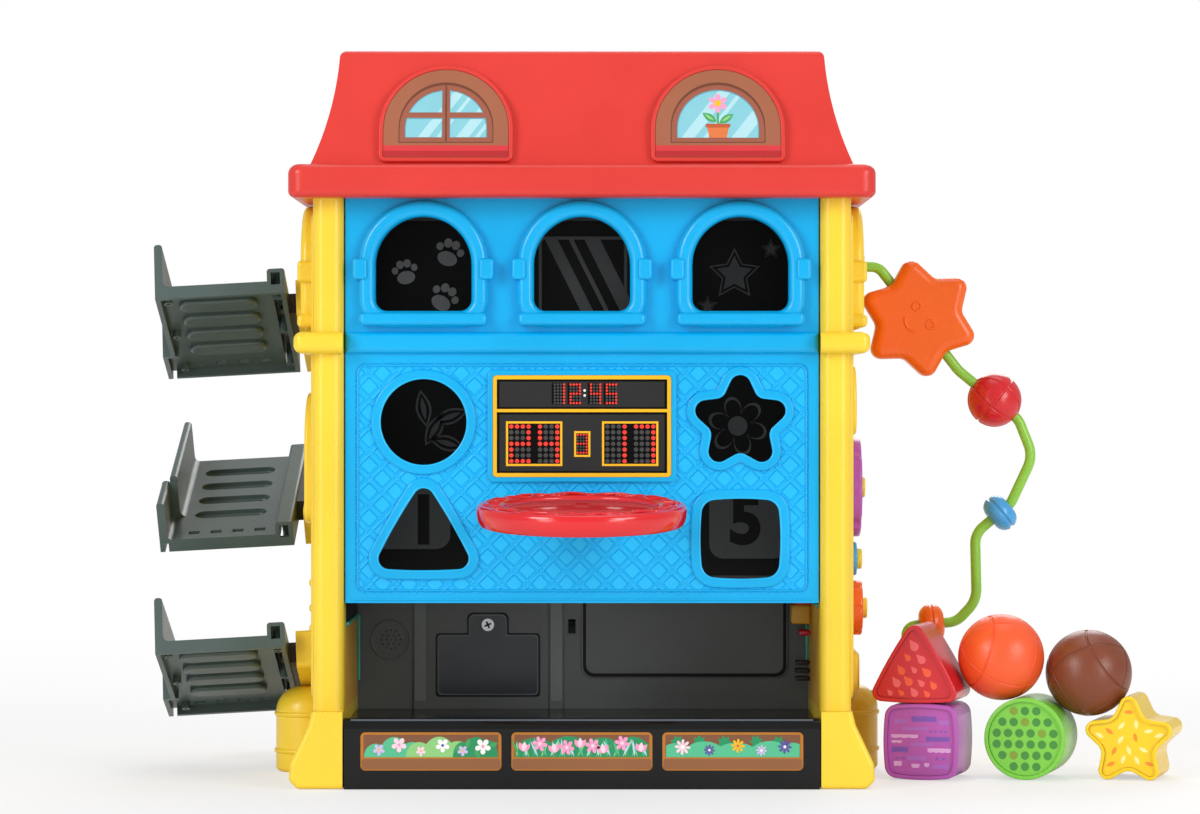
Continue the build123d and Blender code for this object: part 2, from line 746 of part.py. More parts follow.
def right_wall():
    """Right side wall with the sockets of the bead wire and the pads of the spinners."""
    shell = common_wall()
    shell += Pos(right_barrel_out - right_barrel_radius, 0, 0) * barrel(right_barrel_radius)
    socket = raised(RectangleRounded(17, 17, 4), wire_socket_x - bow_face, 2.5)
    shell += on_face(RIGHT, bow_face, 0, wire_top, socket)
    for z, outer in ((wire_top, wire_socket_x), (wire_bottom, right_barrel_out)):
        shell -= Pos(0, 0, z) * tube(wire_diameter / 2, column_out - 3, outer + 2, "x")
    arch_ring = arch(36, 31, 4)
    arch_ring = offset(arch_ring, amount=6) - arch_ring
    shell += on_face(RIGHT, bow_face, -42, side_arch_foot + 31, raised(arch_ring, 4, 1.6))
    shell += on_face(RIGHT, bow_face, -34, bow_bottom + 14, raised(RectangleRounded(52, 26, 8), 6, 2.5))
    arch_ring = arch(40, 60, 3)
    arch_ring = offset(arch_ring, amount=6) - arch_ring
    shell += on_face(RIGHT, bow_face, 34, 120, raised(arch_ring, 4, 1.6))
    for name, y, z, radius, thickness, lobes in spinner_places:
        pad = raised(Circle(axle_head_radius + 1.5), spinner_pad_height, 0.5)
        shell += on_face(RIGHT, bow_face, y, z, pad)
    shell = hollow_wall(shell)
    for name, y, z, radius, thickness, lobes in spinner_places:
        shell -= Pos(0, y, z) * tube(axle_radius, column_out - 10, bow_face + 10, "x")
    return shell


def wall_liner(side):
    """Inner cover of a side wall, set into the opening between the column flanges."""
    low = (column_in, -flange_back + snug, base_height + 4 + snug)
    high = (column_in + 2.4, flange_back - snug, eave_height - 8 - snug)
    liner = fillet(box_between(low, high).edges().filter_by(Axis.X), 3)
    return liner if side > 0 else mirror(liner, about=Plane.YZ)


def ramp_section(width, parapet):
    """Cross-section of a ramp: tall parapet outside, floor, low hollow kerb at the house side."""
    low, under = -ramp_skirt, -ramp_floor
    outer, inner = -width, -width + parapet_thickness
    points = [
        (outer, low), (outer, parapet), (inner, parapet), (inner, 0), (-kerb_width, 0),
        (-kerb_width, kerb_height), (0, kerb_height), (0, low), (-ramp_rib, low),
        (-ramp_rib, kerb_height - ramp_floor), (ramp_floor - kerb_width, kerb_height - ramp_floor),
        (ramp_floor - kerb_width, under), (outer + ramp_rib, under), (outer + ramp_rib, low),
    ]
    face = make_face(Polyline(*points, close=True))
    face = fillet([v for v in face.vertices() if v.Y > parapet - 0.1], 1.9)
    face = fillet([v for v in face.vertices() if abs(v.Y - kerb_height) < 0.1], 1.9)
    corner = [v for v in face.vertices() if abs(v.X - inner) < 0.1 and abs(v.Y) < 0.1]
    return fillet(corner, 3.5)


def ramp():
    """One channel of the ball run, its inner kerb on the local YZ plane and its low end towards +Y."""
    half = ramp_length / 2
    step = half - mouth_length
    outer = -ramp_width
    body = extrude(Plane.XZ.offset(-step) * ramp_section(ramp_width, parapet_height), amount=half + step)
    mouth = ramp_section(ramp_width + mouth_step, mouth_parapet)
    body += extrude(Plane.XZ.offset(-half) * mouth, amount=mouth_length)
    corner = (outer + parapet_thickness, step + ramp_rib, mouth_parapet - 1)
    body += box_between((outer - mouth_step, step, -ramp_skirt), corner)
    for y in (-half, half - ramp_rib):
        body += box_between((outer + 0.5, y, -ramp_skirt), (-0.5, y + ramp_rib, -ramp_floor + 0.1))
    middle_x = (outer + parapet_thickness - kerb_width) / 2
    slot = SlotOverall(pocket_length, pocket_width)
    bulge = SlotOverall(pocket_length + 3, pocket_width + 3)
    for i in range(pocket_count):
        y = -half + pocket_first + i * pocket_pitch
        lump = Pos(middle_x, y, -pocket_depth - 2) * extrude(bulge, amount=pocket_depth + 1)
        body += fillet(lump.edges().group_by(Axis.Z)[0], 2)
        cut = Pos(middle_x, y, -pocket_depth) * extrude(slot, amount=pocket_depth + 1)
        body -= fillet(cut.edges().group_by(Axis.Z)[0], 1.5)
    for i in range(slot_count):
        x = middle_x + (i - (slot_count - 1) / 2) * slot_pitch
        body -= box_between((x - 3.5, half - 13, -ramp_floor - 1), (x + 3.5, half - 8, 1))
    posts = ((outer + 7, -ramp_floor), (-ramp_rib - 2.2, kerb_height - ramp_floor))
    for x, ceiling in posts:
        for y in (-half + 12, 0, half - 12):
            post = tube(2.6, -ramp_skirt + 1, ceiling + 0.5) - tube(1.2, -ramp_skirt, ceiling)
            body += Pos(x, y, 0) * post
    return body


def ramp_solid(y, z, far_low):
    body = ramp()
    if far_low < 0:
        body = mirror(body, about=Plane.XZ)
    for i in (-1, 1):
        body -= Pos(0, i * clip_length / 3, 0) * tube(peg_radius, -peg_length, 1, "x")
    return ramp_frame(y, z, far_low) * body


def ramp_clip(y, z, far_low):
    """Dark spacer between a ramp and its bracket, with pegs into both."""
    low = (0, -clip_length / 2, -clip_height / 2)
    clip = box_between(low, (clip_thickness, clip_length / 2, clip_height / 2))
    peg = tube(peg_radius, -peg_length, clip_thickness + peg_length, "x")
    for i in (-1, 1):
        clip += Pos(0, i * clip_length / 3, 0) * peg
    return ramp_frame(y, z, far_low) * clip


def wire_points():
    start = (column_out - 2, 0, wire_top)
    end = (column_out - 2, 0, wire_bottom)
    return [start] + [(x, 0, z) for x, z, r in wire_route] + [end]


def bead_wire():
    path = FilletPolyline(*wire_points(), radius=[r for x, z, r in wire_route])
    section = Plane(origin=path @ 0, z_dir=path % 0) * Circle(wire_diameter / 2)
    return sweep(section, path=path)


def bead_location(leg, share):
    """Place on a straight leg of the wire, with local Z along it."""
    points = wire_points()
    a, b = points[leg], points[leg + 1]
    spot = tuple(p + (q - p) * share for p, q in zip(a, b))
    along = tuple(q - p for p, q in zip(a, b))
    return Plane(origin=spot, x_dir=(0, 1, 0), z_dir=along).location


def bore_through(bead, length):
    return bead - Cylinder(bead_bore, length)


def sun_bead():
    """A thick six-pointed sun whose bore runs across its flat, along the wire."""
    corners = []
    for i in range(12):
        reach = sun_tip_radius * 1.12 if i % 2 == 0 else sun_notch_radius
        angle = radians(30 * i + sun_turn)
        corners.append((reach * cos(angle), reach * sin(angle)))
    face = make_face(Polyline(*corners, close=True))
    tips = [v for v in face.vertices() if hypot(v.X, v.Y) > sun_tip_radius]
    face = fillet(tips, 6.5)
    notches = [v for v in face.vertices() if hypot(v.X, v.Y) < sun_notch_radius + 0.5]
    face = fillet(notches, 7)
    body = Pos(0, 0, -sun_thickness / 2) * extrude(face, amount=sun_thickness)
    rims = body.edges().filter_by(lambda e: abs(abs(e.center().Z) - sun_thickness / 2) < 0.01)
    body = fillet(rims, sun_edge)
    body = Rot(0, 90, 0) * body
    return bead_location(1, 0.5) * bore_through(body, 3 * sun_tip_radius)


def red_bead():
    body = bore_through(Sphere(red_bead_radius), 4 * red_bead_radius)
    for i in range(3):
        body -= Rot(0, 0, 60 * i + 20) * Rot(90, 0, 0) * Torus(red_bead_radius + 0.4, 1.1)
    body -= Torus(red_bead_radius + 0.4, 1.1)
    return bead_location(2, 0.6) * body


def oval_bead(radius, length, waist):
    """A barrel-shaped bead with a groove round its middle."""
    half = length / 2
    profile = ThreePointArc((bead_bore + 2, -half), (radius, 0), (bead_bore + 2, half))
    face = make_face(Wire([profile, Line((bead_bore + 2, half), (0, half)), Line((0, half), (0, -half)),
                           Line((0, -half), (bead_bore + 2, -half))]))
    body = revolve(Plane.XZ * face, axis=Axis.Z)
    body -= Torus(radius + 0.5, waist)
    return bore_through(body, 2 * length)


def spinner(y, z, radius, thickness, lobes):
    """A scalloped disc that turns on its axle."""
    disc = Circle(radius)
    for i in range(lobes):
        angle = 2 * pi * i / lobes
        reach = radius * 1.28
        disc -= Pos(reach * cos(angle), reach * sin(angle)) * Circle(radius * 0.33)
    body = raised(disc, thickness, min(1.6, thickness * 0.3), 0.0001)
    body -= Cylinder(axle_radius + axle_clearance, 4 * thickness)
    dish = Circle(radius * 0.62) - Circle(axle_head_radius + 2)
    body -= Pos(0, 0, thickness - 1) * extrude(dish, amount=2)
    return on_face(RIGHT, bow_face + spinner_stand, y, z, body)


def spinner_axle(y, z, thickness):
    """Headed axle that holds a spinner against the wall."""
    inner = bow_face - wall
    head_at = bow_face + spinner_stand + thickness + seat_gap
    shank = tube(axle_radius, inner - washer_thickness - 1.5, head_at, "x")
    head = on_face(RIGHT, head_at, 0, 0, raised(Circle(axle_head_radius), axle_head_height, 1.2, 0.001))
    return Pos(0, y, z) * (shank + head)


def axle_washer(y, z):
    inner = bow_face - wall
    ring = tube(washer_radius, inner - washer_thickness, inner, "x")
    return Pos(0, y, z) * (ring - tube(axle_radius, inner - 10, inner + 1, "x"))


def door_outline(grow=0.0):
    """Battery door: a rounded rectangle with the screw tab above it."""
    plate = RectangleRounded(door_width + 2 * grow, door_height + 2 * grow, 2.5)
    tab = RectangleRounded(tab_width + 2 * grow, tab_height + 4 + 2 * grow, 4)
    return plate + Pos(0, (door_height + tab_height) / 2 - 2) * tab


def inner_housing():
    """Partition across the house, with the electronics box and battery compartment behind it."""
    face = partition_y
    back = face + housing_depth
    half = panel_x + panel_seam - snug
    box_half = half - 3
    top = base_floor + housing_height
    plate = box_between((-half, face, base_floor), (half, face + partition_thickness, eave_height - snug))
    plate += box_between((-box_half, face + 1, base_floor), (box_half, back, top))
    low = (-box_half + skin, face + partition_thickness, base_floor + skin)
    plate -= box_between(low, (box_half - skin, back + 1, top - skin))
    for x in rib_places:
        low = (x - rib_width / 2, face - rib_height, base_floor)
        plate += box_between(low, (x + rib_width / 2, face + 1, rib_top))
    sign = RectangleRounded(sign_width, sign_height, 7)
    plate += on_face(FRONT, sign_x, face, sign_z, raised(sign, sign_proud, 0.5))
    room_low = (door_centre_x - compartment_half, face + 1, compartment_low)
    room_high = (door_centre_x + compartment_half, face + compartment_depth, compartment_high)
    shell_low = tuple(v - skin for v in room_low)
    shell_high = tuple(v + skin for v in room_high)
    plate += box_between((shell_low[0], face + 1, shell_low[2]), shell_high)
    plate += Pos(door_centre_x, 0, door_screw_z) * tube(boss_radius, face + 1, face + 12, "y")
    door_bed = prism(door_outline(seat_gap), 5, door_thickness - door_proud)
    plate -= on_face(FRONT, door_centre_x, face, door_centre_z, door_bed)
    plate -= box_between((room_low[0], face - 5, room_low[2]), room_high)
    plate -= Pos(door_centre_x, 0, door_screw_z) * tube(screw_radius, face - 3, face + 10, "y")
    plate -= on_face(FRONT, speaker_x, face, speaker_z, prism(Circle(10), 2, 0.8))
    for ring in range(3):
        count = max(1, 6 * ring)
        for i in range(count):
            angle = 2 * pi * i / count
            x = speaker_x + ring * grille_pitch * cos(angle)
            z = speaker_z + ring * grille_pitch * sin(angle)
            plate -= Pos(x, 0, z) * tube(grille_hole / 2, face - 1, face + 4, "y")
    slot_half = switch_width / 2 + seat_gap
    slot_low = switch_z - switch_height / 2 - seat_gap
    slot_high = switch_z + switch_height / 2 + switch_travel + seat_gap
    slot_foot = (switch_x - slot_half, face - 3, slot_low)
    plate -= box_between(slot_foot, (switch_x + slot_half, face + 5, slot_high))
    for x, z in housing_screw_places:
        plate += Pos(x, 0, z) * tube(boss_radius, face + 1, back, "y")
        plate -= Pos(x, 0, z) * tube(screw_radius, back - 12, back + 1, "y")
    for x, z in board_posts:
        plate += Pos(x, 0, z) * tube(3, face + 1, board_y, "y")
    return plate


def housing_cover():
    back = partition_y + housing_depth
    half = panel_x + panel_seam - snug - 3
    cover = box_between((-half, back, base_floor), (half, back + skin, base_floor + housing_height))
    cover = fillet(cover.edges().filter_by(Axis.Y).group_by(Axis.Z)[-1], 4)
    for x, z in housing_screw_places:
        cover -= Pos(x, 0, z) * tube(screw_radius, back - 1, back + 6, "y")
    return cover


def housing_screw(x, z):
    seat = partition_y + housing_depth + skin
    screw = tube(screw_head_radius, seat, seat + screw_head_height, "y")
    return Pos(x, 0, z) * (screw + tube(screw_radius, seat - 12, seat, "y"))


def battery_door():
    door_back = partition_y + door_thickness - door_proud
    door = on_face(FRONT, door_centre_x, door_back, door_centre_z, prism(door_outline(), door_thickness))
    door -= Pos(door_centre_x, 0, door_screw_z) * tube(screw_radius, partition_y - 5, door_back + 1, "y")
    return door


def battery_door_screw():
    face = partition_y - door_proud
    head = tube(screw_head_radius, face - 1.4, face, "y")
    cross = Box(4.2, 1.6, 1.0) + Box(1.0, 1.6, 4.2)
    shank = tube(screw_radius, face, face + 9, "y")
    return Pos(door_centre_x, 0, door_screw_z) * (head + shank - Pos(0, face - 1.4, 0) * cross)


def battery(z):
    """AA cell with its raised positive contact towards +X."""
    half = cell_length / 2
    can = tube(cell_radius, -half, half - 1.2, "x")
    return Pos(door_centre_x, cell_y, z) * (can + tube(2.7, half - 1.3, half, "x"))


def battery_contact(side):
    """End plate of the compartment with a raised pad for each cell."""
    wall_x = side * compartment_half
    plate_x = wall_x - side * contact_thickness
    low = (min(wall_x, plate_x), -6, compartment_low + 1 - door_centre_z)
    high = (max(wall_x, plate_x), 6, compartment_high - 1 - door_centre_z)
    contact = box_between(low, high)
    cell_end = side * cell_length / 2
    for z in cell_heights:
        pad = tube(2.4, min(cell_end, plate_x), max(cell_end, plate_x), "x")
        contact += Pos(0, 0, z - door_centre_z) * pad
    return Pos(door_centre_x, cell_y, door_centre_z) * contact


def speaker():
    front = partition_y + partition_thickness
    cone = tube(speaker_radius, front, front + 4, "y")
    cone += tube(speaker_radius * 0.6, front + 4, front + speaker_depth, "y")
    return Pos(speaker_x, 0, speaker_z) * cone


def circuit_board():
    back = board_y + board_thickness
    low = (board_x - board_width / 2, board_y, board_z - board_height / 2)
    board = box_between(low, (board_x + board_width / 2, back, board_z + board_height / 2))
    for i, size in enumerate((14, 9, 20)):
        left = board_x - 36 + 28 * i
        board += box_between((left, board_y + 1, board_z - 8), (left + size, back + 3, board_z + 4))
    return board


def power_switch():
    """Slide knob of the power switch, with the carrier behind its slot."""
    x, z = switch_width / 2, switch_height / 2
    behind = partition_thickness + seat_gap
    knob = box_between((-x, -1.6, -z), (x, behind, z))
    knob += box_between((-x - 3, behind, -z - 3), (x + 3, partition_thickness + 3, z + 3))
    return Pos(switch_x, partition_y, switch_z) * knob


def base_tray():
    tray = box_between((-panel_x, -base_front, 0), (panel_x, base_front, base_height))
    rims = tray.edges().filter_by(Axis.X).group_by(Axis.Z)[-1]
    tray = fillet(rims, base_rim_round)
    reach = base_front - base_lip
    tray -= box_between((-panel_x - 1, -reach, base_floor), (panel_x + 1, reach, base_height + 1))
    room_x, room_y = panel_x - base_skin, base_front - base_skin
    tray -= box_between((-room_x, -room_y, -1), (room_x, room_y, base_floor - base_skin))
    for i in (-1, 0, 1):
        x = i * base_rib_pitch
        low = (x - base_rib / 2, -room_y - 1, 0)
        tray += box_between(low, (x + base_rib / 2, room_y + 1, base_floor - 1))
    pocket = RectangleRounded(planter_width + 2 * snug, planter_height + 2 * snug, 3)
    for i in (-1, 0, 1):
        spot = (i * planter_pitch, -base_front, planter_bottom + planter_height / 2)
        tray -= on_face(FRONT, *spot, prism(pocket, 2, plate_thickness))
    for side in (-1, 1):
        for y in (-roof_screw_y, roof_screw_y):
            tray -= side_hole(side, y, base_floor / 2)
    return tray


def planter_plate(i):
    plate = prism(RectangleRounded(planter_width, planter_height, 2.8), 0, plate_thickness)
    return on_face(FRONT, i * planter_pitch, -base_front, planter_bottom + planter_height / 2, plate)


def key_outline(grow=0.0):
    return RectangleRounded(key_width + 2 * grow, key_height + 2 * grow, 5)


def far_panel():
    """Panel of the far side: windows and belt as at the front, a doorway and three keys."""
    panel = rotate_half(panel_tray(base_floor))
    face = panel_front
    doorway = arch(far_door_width, far_door_height, 0.5)
    below_arch = Pos(0, far_door_height / 2 - 40) * Rectangle(2 * far_door_width, far_door_height)
    lintel = offset(doorway, amount=9) - offset(doorway, amount=1) - below_arch
    panel += on_face(BACK, far_door_x, face, base_floor + 4, raised(lintel, 2.5, 1.2))
    panel -= on_face(BACK, far_door_x, face, base_floor + 4, prism(doorway, 10, 10))
    for name, x in key_places:
        rim = offset(key_outline(), amount=5)
        panel += on_face(BACK, x, face, key_centre_z, raised(rim, 2, 1))
        panel -= on_face(BACK, x, face, key_centre_z, prism(key_outline(key_gap), 5, 10))
    panel += on_face(BACK, bell_x, face, bell_z, raised(Circle(bell_radius + 5), 2, 1))
    panel -= on_face(BACK, bell_x, face, bell_z, prism(Circle(bell_radius + key_gap), 5, 10))
    for low, high in lug_heights:
        panel += Pos(door_pivot_x, door_pivot_y, 0) * tube(hinge_radius, low, high)
        block_low = (door_pivot_x - hinge_radius, face - 1, low)
        panel += box_between(block_low, (door_pivot_x, door_pivot_y, high))
    panel -= Pos(door_pivot_x, door_pivot_y, 0) * tube(hinge_pin_radius, *pin_ends)
    for x, z in key_post_places:
        panel += Pos(x, 0, z) * tube(3, key_board_y + board_thickness, face - 1, "y")
    for side in (-1, 1):
        for y, z in panel_screw_places(face):
            panel -= side_hole(side, y, z)
    return panel


def rotate_half(shape):
    """Turn a front piece round to the far side."""
    return Rot(0, 0, 180) * shape


def key_cap(x, z, outline, flange):
    """Push key: a domed cap proud of the panel and a flange behind it."""
    cap = raised(outline, key_proud, 2.0, skin + quilt_depth + 1)
    cap += Pos(0, 0, -skin - quilt_depth - key_flange - seat_gap) * extrude(flange, amount=key_flange)
    return on_face(BACK, x, panel_front, z, cap)


def key_dome(x, z):
    """Rubber dome between a key and the board behind it."""
    start = key_board_y + board_thickness
    return Pos(x, 0, z) * (tube(6, start, start + 1, "y") + tube(4, start + 1, dome_end, "y"))


def key_board():
    """Circuit board behind the keys and the doorbell."""
    half_x = 1.5 * key_pitch + 7
    low = (key_centre_x - half_x, key_board_y, key_centre_z - 24)
    high = (key_centre_x + half_x, key_board_y + board_thickness, key_centre_z + 24)
    board = box_between(low, high)
    low = (bell_x - bell_radius, key_board_y, key_centre_z + 20)
    board += box_between(low, (bell_x + 12, high[1], bell_z + 10))
    return board


def front_door():
    """Arched door of the far side, hung on its pin, with a round knob."""
    outline = arch(far_door_width - 2 * far_door_gap, far_door_height - 2 * far_door_gap, 3)
    base = base_floor + 4 + far_door_gap
    door = on_face(BACK, far_door_x, panel_front, base, prism(outline, 0, far_door_thickness))
    trim = offset(outline, amount=-9) - offset(outline, amount=-12)
    door += on_face(BACK, far_door_x, panel_front, base, raised(trim, 1.2, 0.5))
    low, high = door_barrel
    door += Pos(door_pivot_x, door_pivot_y, 0) * tube(hinge_radius - 0.1, low, high)
    leaf_end = far_door_x - far_door_width / 2 + far_door_gap + 6
    door += box_between((door_pivot_x, panel_front - 1, low), (leaf_end, door_pivot_y - 1, high))
    door -= box_between((door_pivot_x - 1, panel_front - 4, low - 1),
                        (far_door_x - far_door_width / 2 + far_door_gap, panel_front, high + 1))
    door -= Pos(door_pivot_x, door_pivot_y, 0) * tube(hinge_pin_radius + hinge_play, low - 1, high + 1)
    knob = Pos(far_door_x + far_door_width / 2 - 12, 0, base_floor + 58)
    door += knob * tube(2.5, panel_front - 1, panel_front + 7, "y")
    door += knob * (Pos(0, panel_front + 9, 0) * Sphere(5))
    return door


def door_pin():
    return Pos(door_pivot_x, door_pivot_y, 0) * tube(hinge_pin_radius, *pin_ends)


def ball():
    """Play ball with the seams of a basketball."""
    body = Rot(25, 40, 0) * (Sphere(ball_radius) - Sphere(ball_radius - ball_skin))
    for turn in (Rot(0, 0, 0), Rot(90, 0, 0)):
        body -= turn * Torus(ball_radius + 0.1, ball_groove)
    shift = ball_radius * 0.55
    ring = sqrt(ball_radius ** 2 - shift ** 2)
    for side in (-1, 1):
        body -= Rot(0, 90, 0) * (Pos(0, 0, side * shift) * Torus(ring + 0.1, ball_groove))
    return body


def play_block(outline):
    """Hollow block whose ends are recessed for printed plates, drawn upright and centred."""
    outer = outline(shape_clearance)
    inner = outline(shape_clearance + block_skin)
    half = block_depth / 2
    body = Pos(0, 0, -half) * extrude(outer, amount=block_depth)
    rims = body.edges().filter_by(lambda e: abs(abs(e.center().Z) - half) < 0.01)
    body = fillet(rims, 1.0)
    body -= Pos(0, 0, half - block_recess) * extrude(inner, amount=block_recess + 1)
    body -= Pos(0, 0, -half - 1) * extrude(inner, amount=block_recess + 1)
    web = 2 * (half - block_recess - block_skin)
    body -= Pos(0, 0, -web / 2) * extrude(inner, amount=web)
    return body


def block_plates(outline):
    """The two printed end plates of a block, each seated on its recess floor."""
    face = outline(shape_clearance + block_skin + snug)
    floor = block_depth / 2 - block_recess
    plates = [Pos(0, 0, floor) * extrude(face, amount=plate_thickness)]
    plates.append(Pos(0, 0, -floor - plate_thickness) * extrude(face, amount=plate_thickness))
    return plates


def lay_down(x, y, z, turn, shape):
    """Lay a block on its side on the floor, one printed end turned towards the viewer."""
    return Pos(x, y, z) * Rot(0, 0, turn) * Rot(90, 0, 0) * shape


square_half = square_hole_width / 2 - shape_clearance
block_places = [
    ("purple_block", square_shape, play_first_x, 0.0),
    ("green_block", circle_shape, play_first_x + play_pitch, 0.0),
    ("yellow_block", star_shape, play_first_x + 2 * play_pitch, 0.0),
    ("red_block", triangle_shape, play_first_x - 4, 2 * square_half + stack_gap),
]
# The balls lie on the blocks: name, X and Z of the centre, and how the seams are turned
ball_places = [
    ("orange_ball", 258.0, 73.9, (35, 20, 0)),
    ("brown_ball", 312.0, 64.2, (60, -35, 20)),
]


def lowest(shape):
    return shape.bounding_box().min.Z


def build():
    """Make and write every piece."""
    write("roof_shell", roof_shell())
    write("left_dormer_plate", dormer_plate(-1, -dormer_spacing / 2))
    write("right_dormer_plate", dormer_plate(-1, dormer_spacing / 2))
    write("far_dormer_plates", group(dormer_plate(1, x) for x in (-dormer_spacing / 2, dormer_spacing / 2)))
    write("sorter_panel", sorter_panel())
    score = prism(RectangleRounded(score_width, score_height, 2.3), plate_thickness)
    score_back = -panel_front + quilt_depth - (bezel_height - plate_inset - plate_thickness)
    write("scoreboard_plate", on_face(FRONT, 0, score_back, score_centre_height, score))
    write("hoop", hoop())
    write("left_wall", left_wall())
    write("right_wall", right_wall())
    write("left_wall_liner", wall_liner(-1))
    write("right_wall_liner", wall_liner(1))
    for name, y, z, far_low in ramp_places:
        write(name, ramp_solid(y, z, far_low))
    write("ramp_clips", group(ramp_clip(y, z, far_low) for name, y, z, far_low in ramp_places))
    write("bead_wire", bead_wire())
    write("sun_bead", sun_bead())
    write("red_bead", red_bead())
    write("blue_bead", bead_location(5, 0.3) * oval_bead(blue_bead_radius, blue_bead_length, 1.6))
    write("orange_bead", bead_location(8, 0.45) * oval_bead(orange_bead_radius, orange_bead_length, 1.4))
    for name, y, z, radius, thickness, lobes in spinner_places:
        write(name, spinner(y, z, radius, thickness, lobes))
    write("spinner_axles", group(spinner_axle(p[1], p[2], p[4]) for p in spinner_places))
    write("axle_washers", group(axle_washer(p[1], p[2]) for p in spinner_places))
    write("inner_housing", inner_housing())
    write("housing_cover", housing_cover())
    write("housing_screws", group(housing_screw(x, z) for x, z in housing_screw_places))
    write("battery_door", battery_door())
    write("battery_door_screw", battery_door_screw())
    write("batteries", group(battery(z) for z in cell_heights))
    write("battery_contacts", group(battery_contact(side) for side in (-1, 1)))
    write("speaker", speaker())
    write("circuit_board", circuit_board())
    write("power_switch", power_switch())
    write("base_tray", base_tray())
    write("planter_plates", group(planter_plate(i) for i in (-1, 0, 1)))
    write("far_panel", far_panel())
    write("front_door", front_door())
    write("door_pin", door_pin())
    for name, x in key_places:
        write(name, key_cap(x, key_centre_z, key_outline(), key_outline(2.0)))
    write("doorbell", key_cap(bell_x, bell_z, Circle(bell_radius), Circle(bell_radius + 2)))
    dome_spots = [(x, key_centre_z) for name, x in key_places] + [(bell_x, bell_z)]
    write("key_domes", group(key_dome(x, z) for x, z in dome_spots))
    write("key_board", key_board())
    screws = []
    for side in (-1, 1):
        for face in (-panel_front, panel_front):
            screws += [side_screw(side, y, z, panel_x - skin) for y, z in panel_screw_places(face)]
    write("panel_screws", group(screws))
    screws = [side_screw(side, y, base_floor / 2, panel_x - base_skin)
              for side in (-1, 1) for y in (-roof_screw_y, roof_screw_y)]
    write("base_screws", group(screws))
    seat = eave_height - wall
    roof_screw = tube(screw_head_radius, seat - screw_head_height, seat)
    roof_screw += tube(screw_radius, seat, eave_height + 10)
    corners = [Pos(x * roof_screw_x, y * roof_screw_y, 0) for x, y in roof_screw_places]
    write("roof_screws", group(corner * roof_screw for corner in corners))
    for name, outline, x, floor in block_places:
        block = lay_down(x, play_row_y, 0, block_turn, play_block(outline))
        lift = floor - lowest(block)
        write(name, Pos(0, 0, lift) * block)
        plates = [lay_down(x, play_row_y, lift, block_turn, p) for p in block_plates(outline)]
        write(name + "_plates", group(plates))
    for name, x, z, turn in ball_places:
        write(name, Pos(x, play_row_y, z) * (Rot(*turn) * ball()))


build()
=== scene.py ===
"""Looks of the activity house: plastics, printed plates, reliefs, floor, light and camera."""
from math import atan2, cos, pi, radians, sin, sqrt

import bmesh
import bpy
from mathutils import Matrix, Vector
from mathutils.bvhtree import BVHTree


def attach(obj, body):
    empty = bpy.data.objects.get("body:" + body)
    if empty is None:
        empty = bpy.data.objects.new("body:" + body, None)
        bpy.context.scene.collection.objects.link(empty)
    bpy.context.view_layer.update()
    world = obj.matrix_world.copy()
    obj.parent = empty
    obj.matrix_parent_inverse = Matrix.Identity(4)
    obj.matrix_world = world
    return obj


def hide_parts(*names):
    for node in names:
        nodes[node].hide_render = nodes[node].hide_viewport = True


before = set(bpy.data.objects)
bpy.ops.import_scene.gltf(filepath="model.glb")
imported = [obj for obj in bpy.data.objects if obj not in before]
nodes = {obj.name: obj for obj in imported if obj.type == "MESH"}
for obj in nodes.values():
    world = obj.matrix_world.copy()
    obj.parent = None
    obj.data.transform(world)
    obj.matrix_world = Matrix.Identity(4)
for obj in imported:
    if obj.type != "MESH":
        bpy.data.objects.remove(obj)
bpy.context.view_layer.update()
MM = 0.001


# ---------------------------------------------------------------- materials
def linear(code):
    """Linear colour of a six-digit sRGB code."""
    values = [int(code[i:i + 2], 16) / 255 for i in (0, 2, 4)]
    return [v / 12.92 if v <= 0.04045 else ((v + 0.055) / 1.055) ** 2.4 for v in values] + [1.0]


def put(node, values):
    """Set inputs of a shader node."""
    for socket, value in values.items():
        node.inputs[socket].default_value = value


def noise(tree, place, scale, detail):
    """A noise texture in the object's own coordinates."""
    node = tree.nodes.new("ShaderNodeTexNoise")
    put(node, {"Scale": scale, "Detail": detail})
    tree.links.new(place.outputs["Object"], node.inputs["Vector"])
    return node


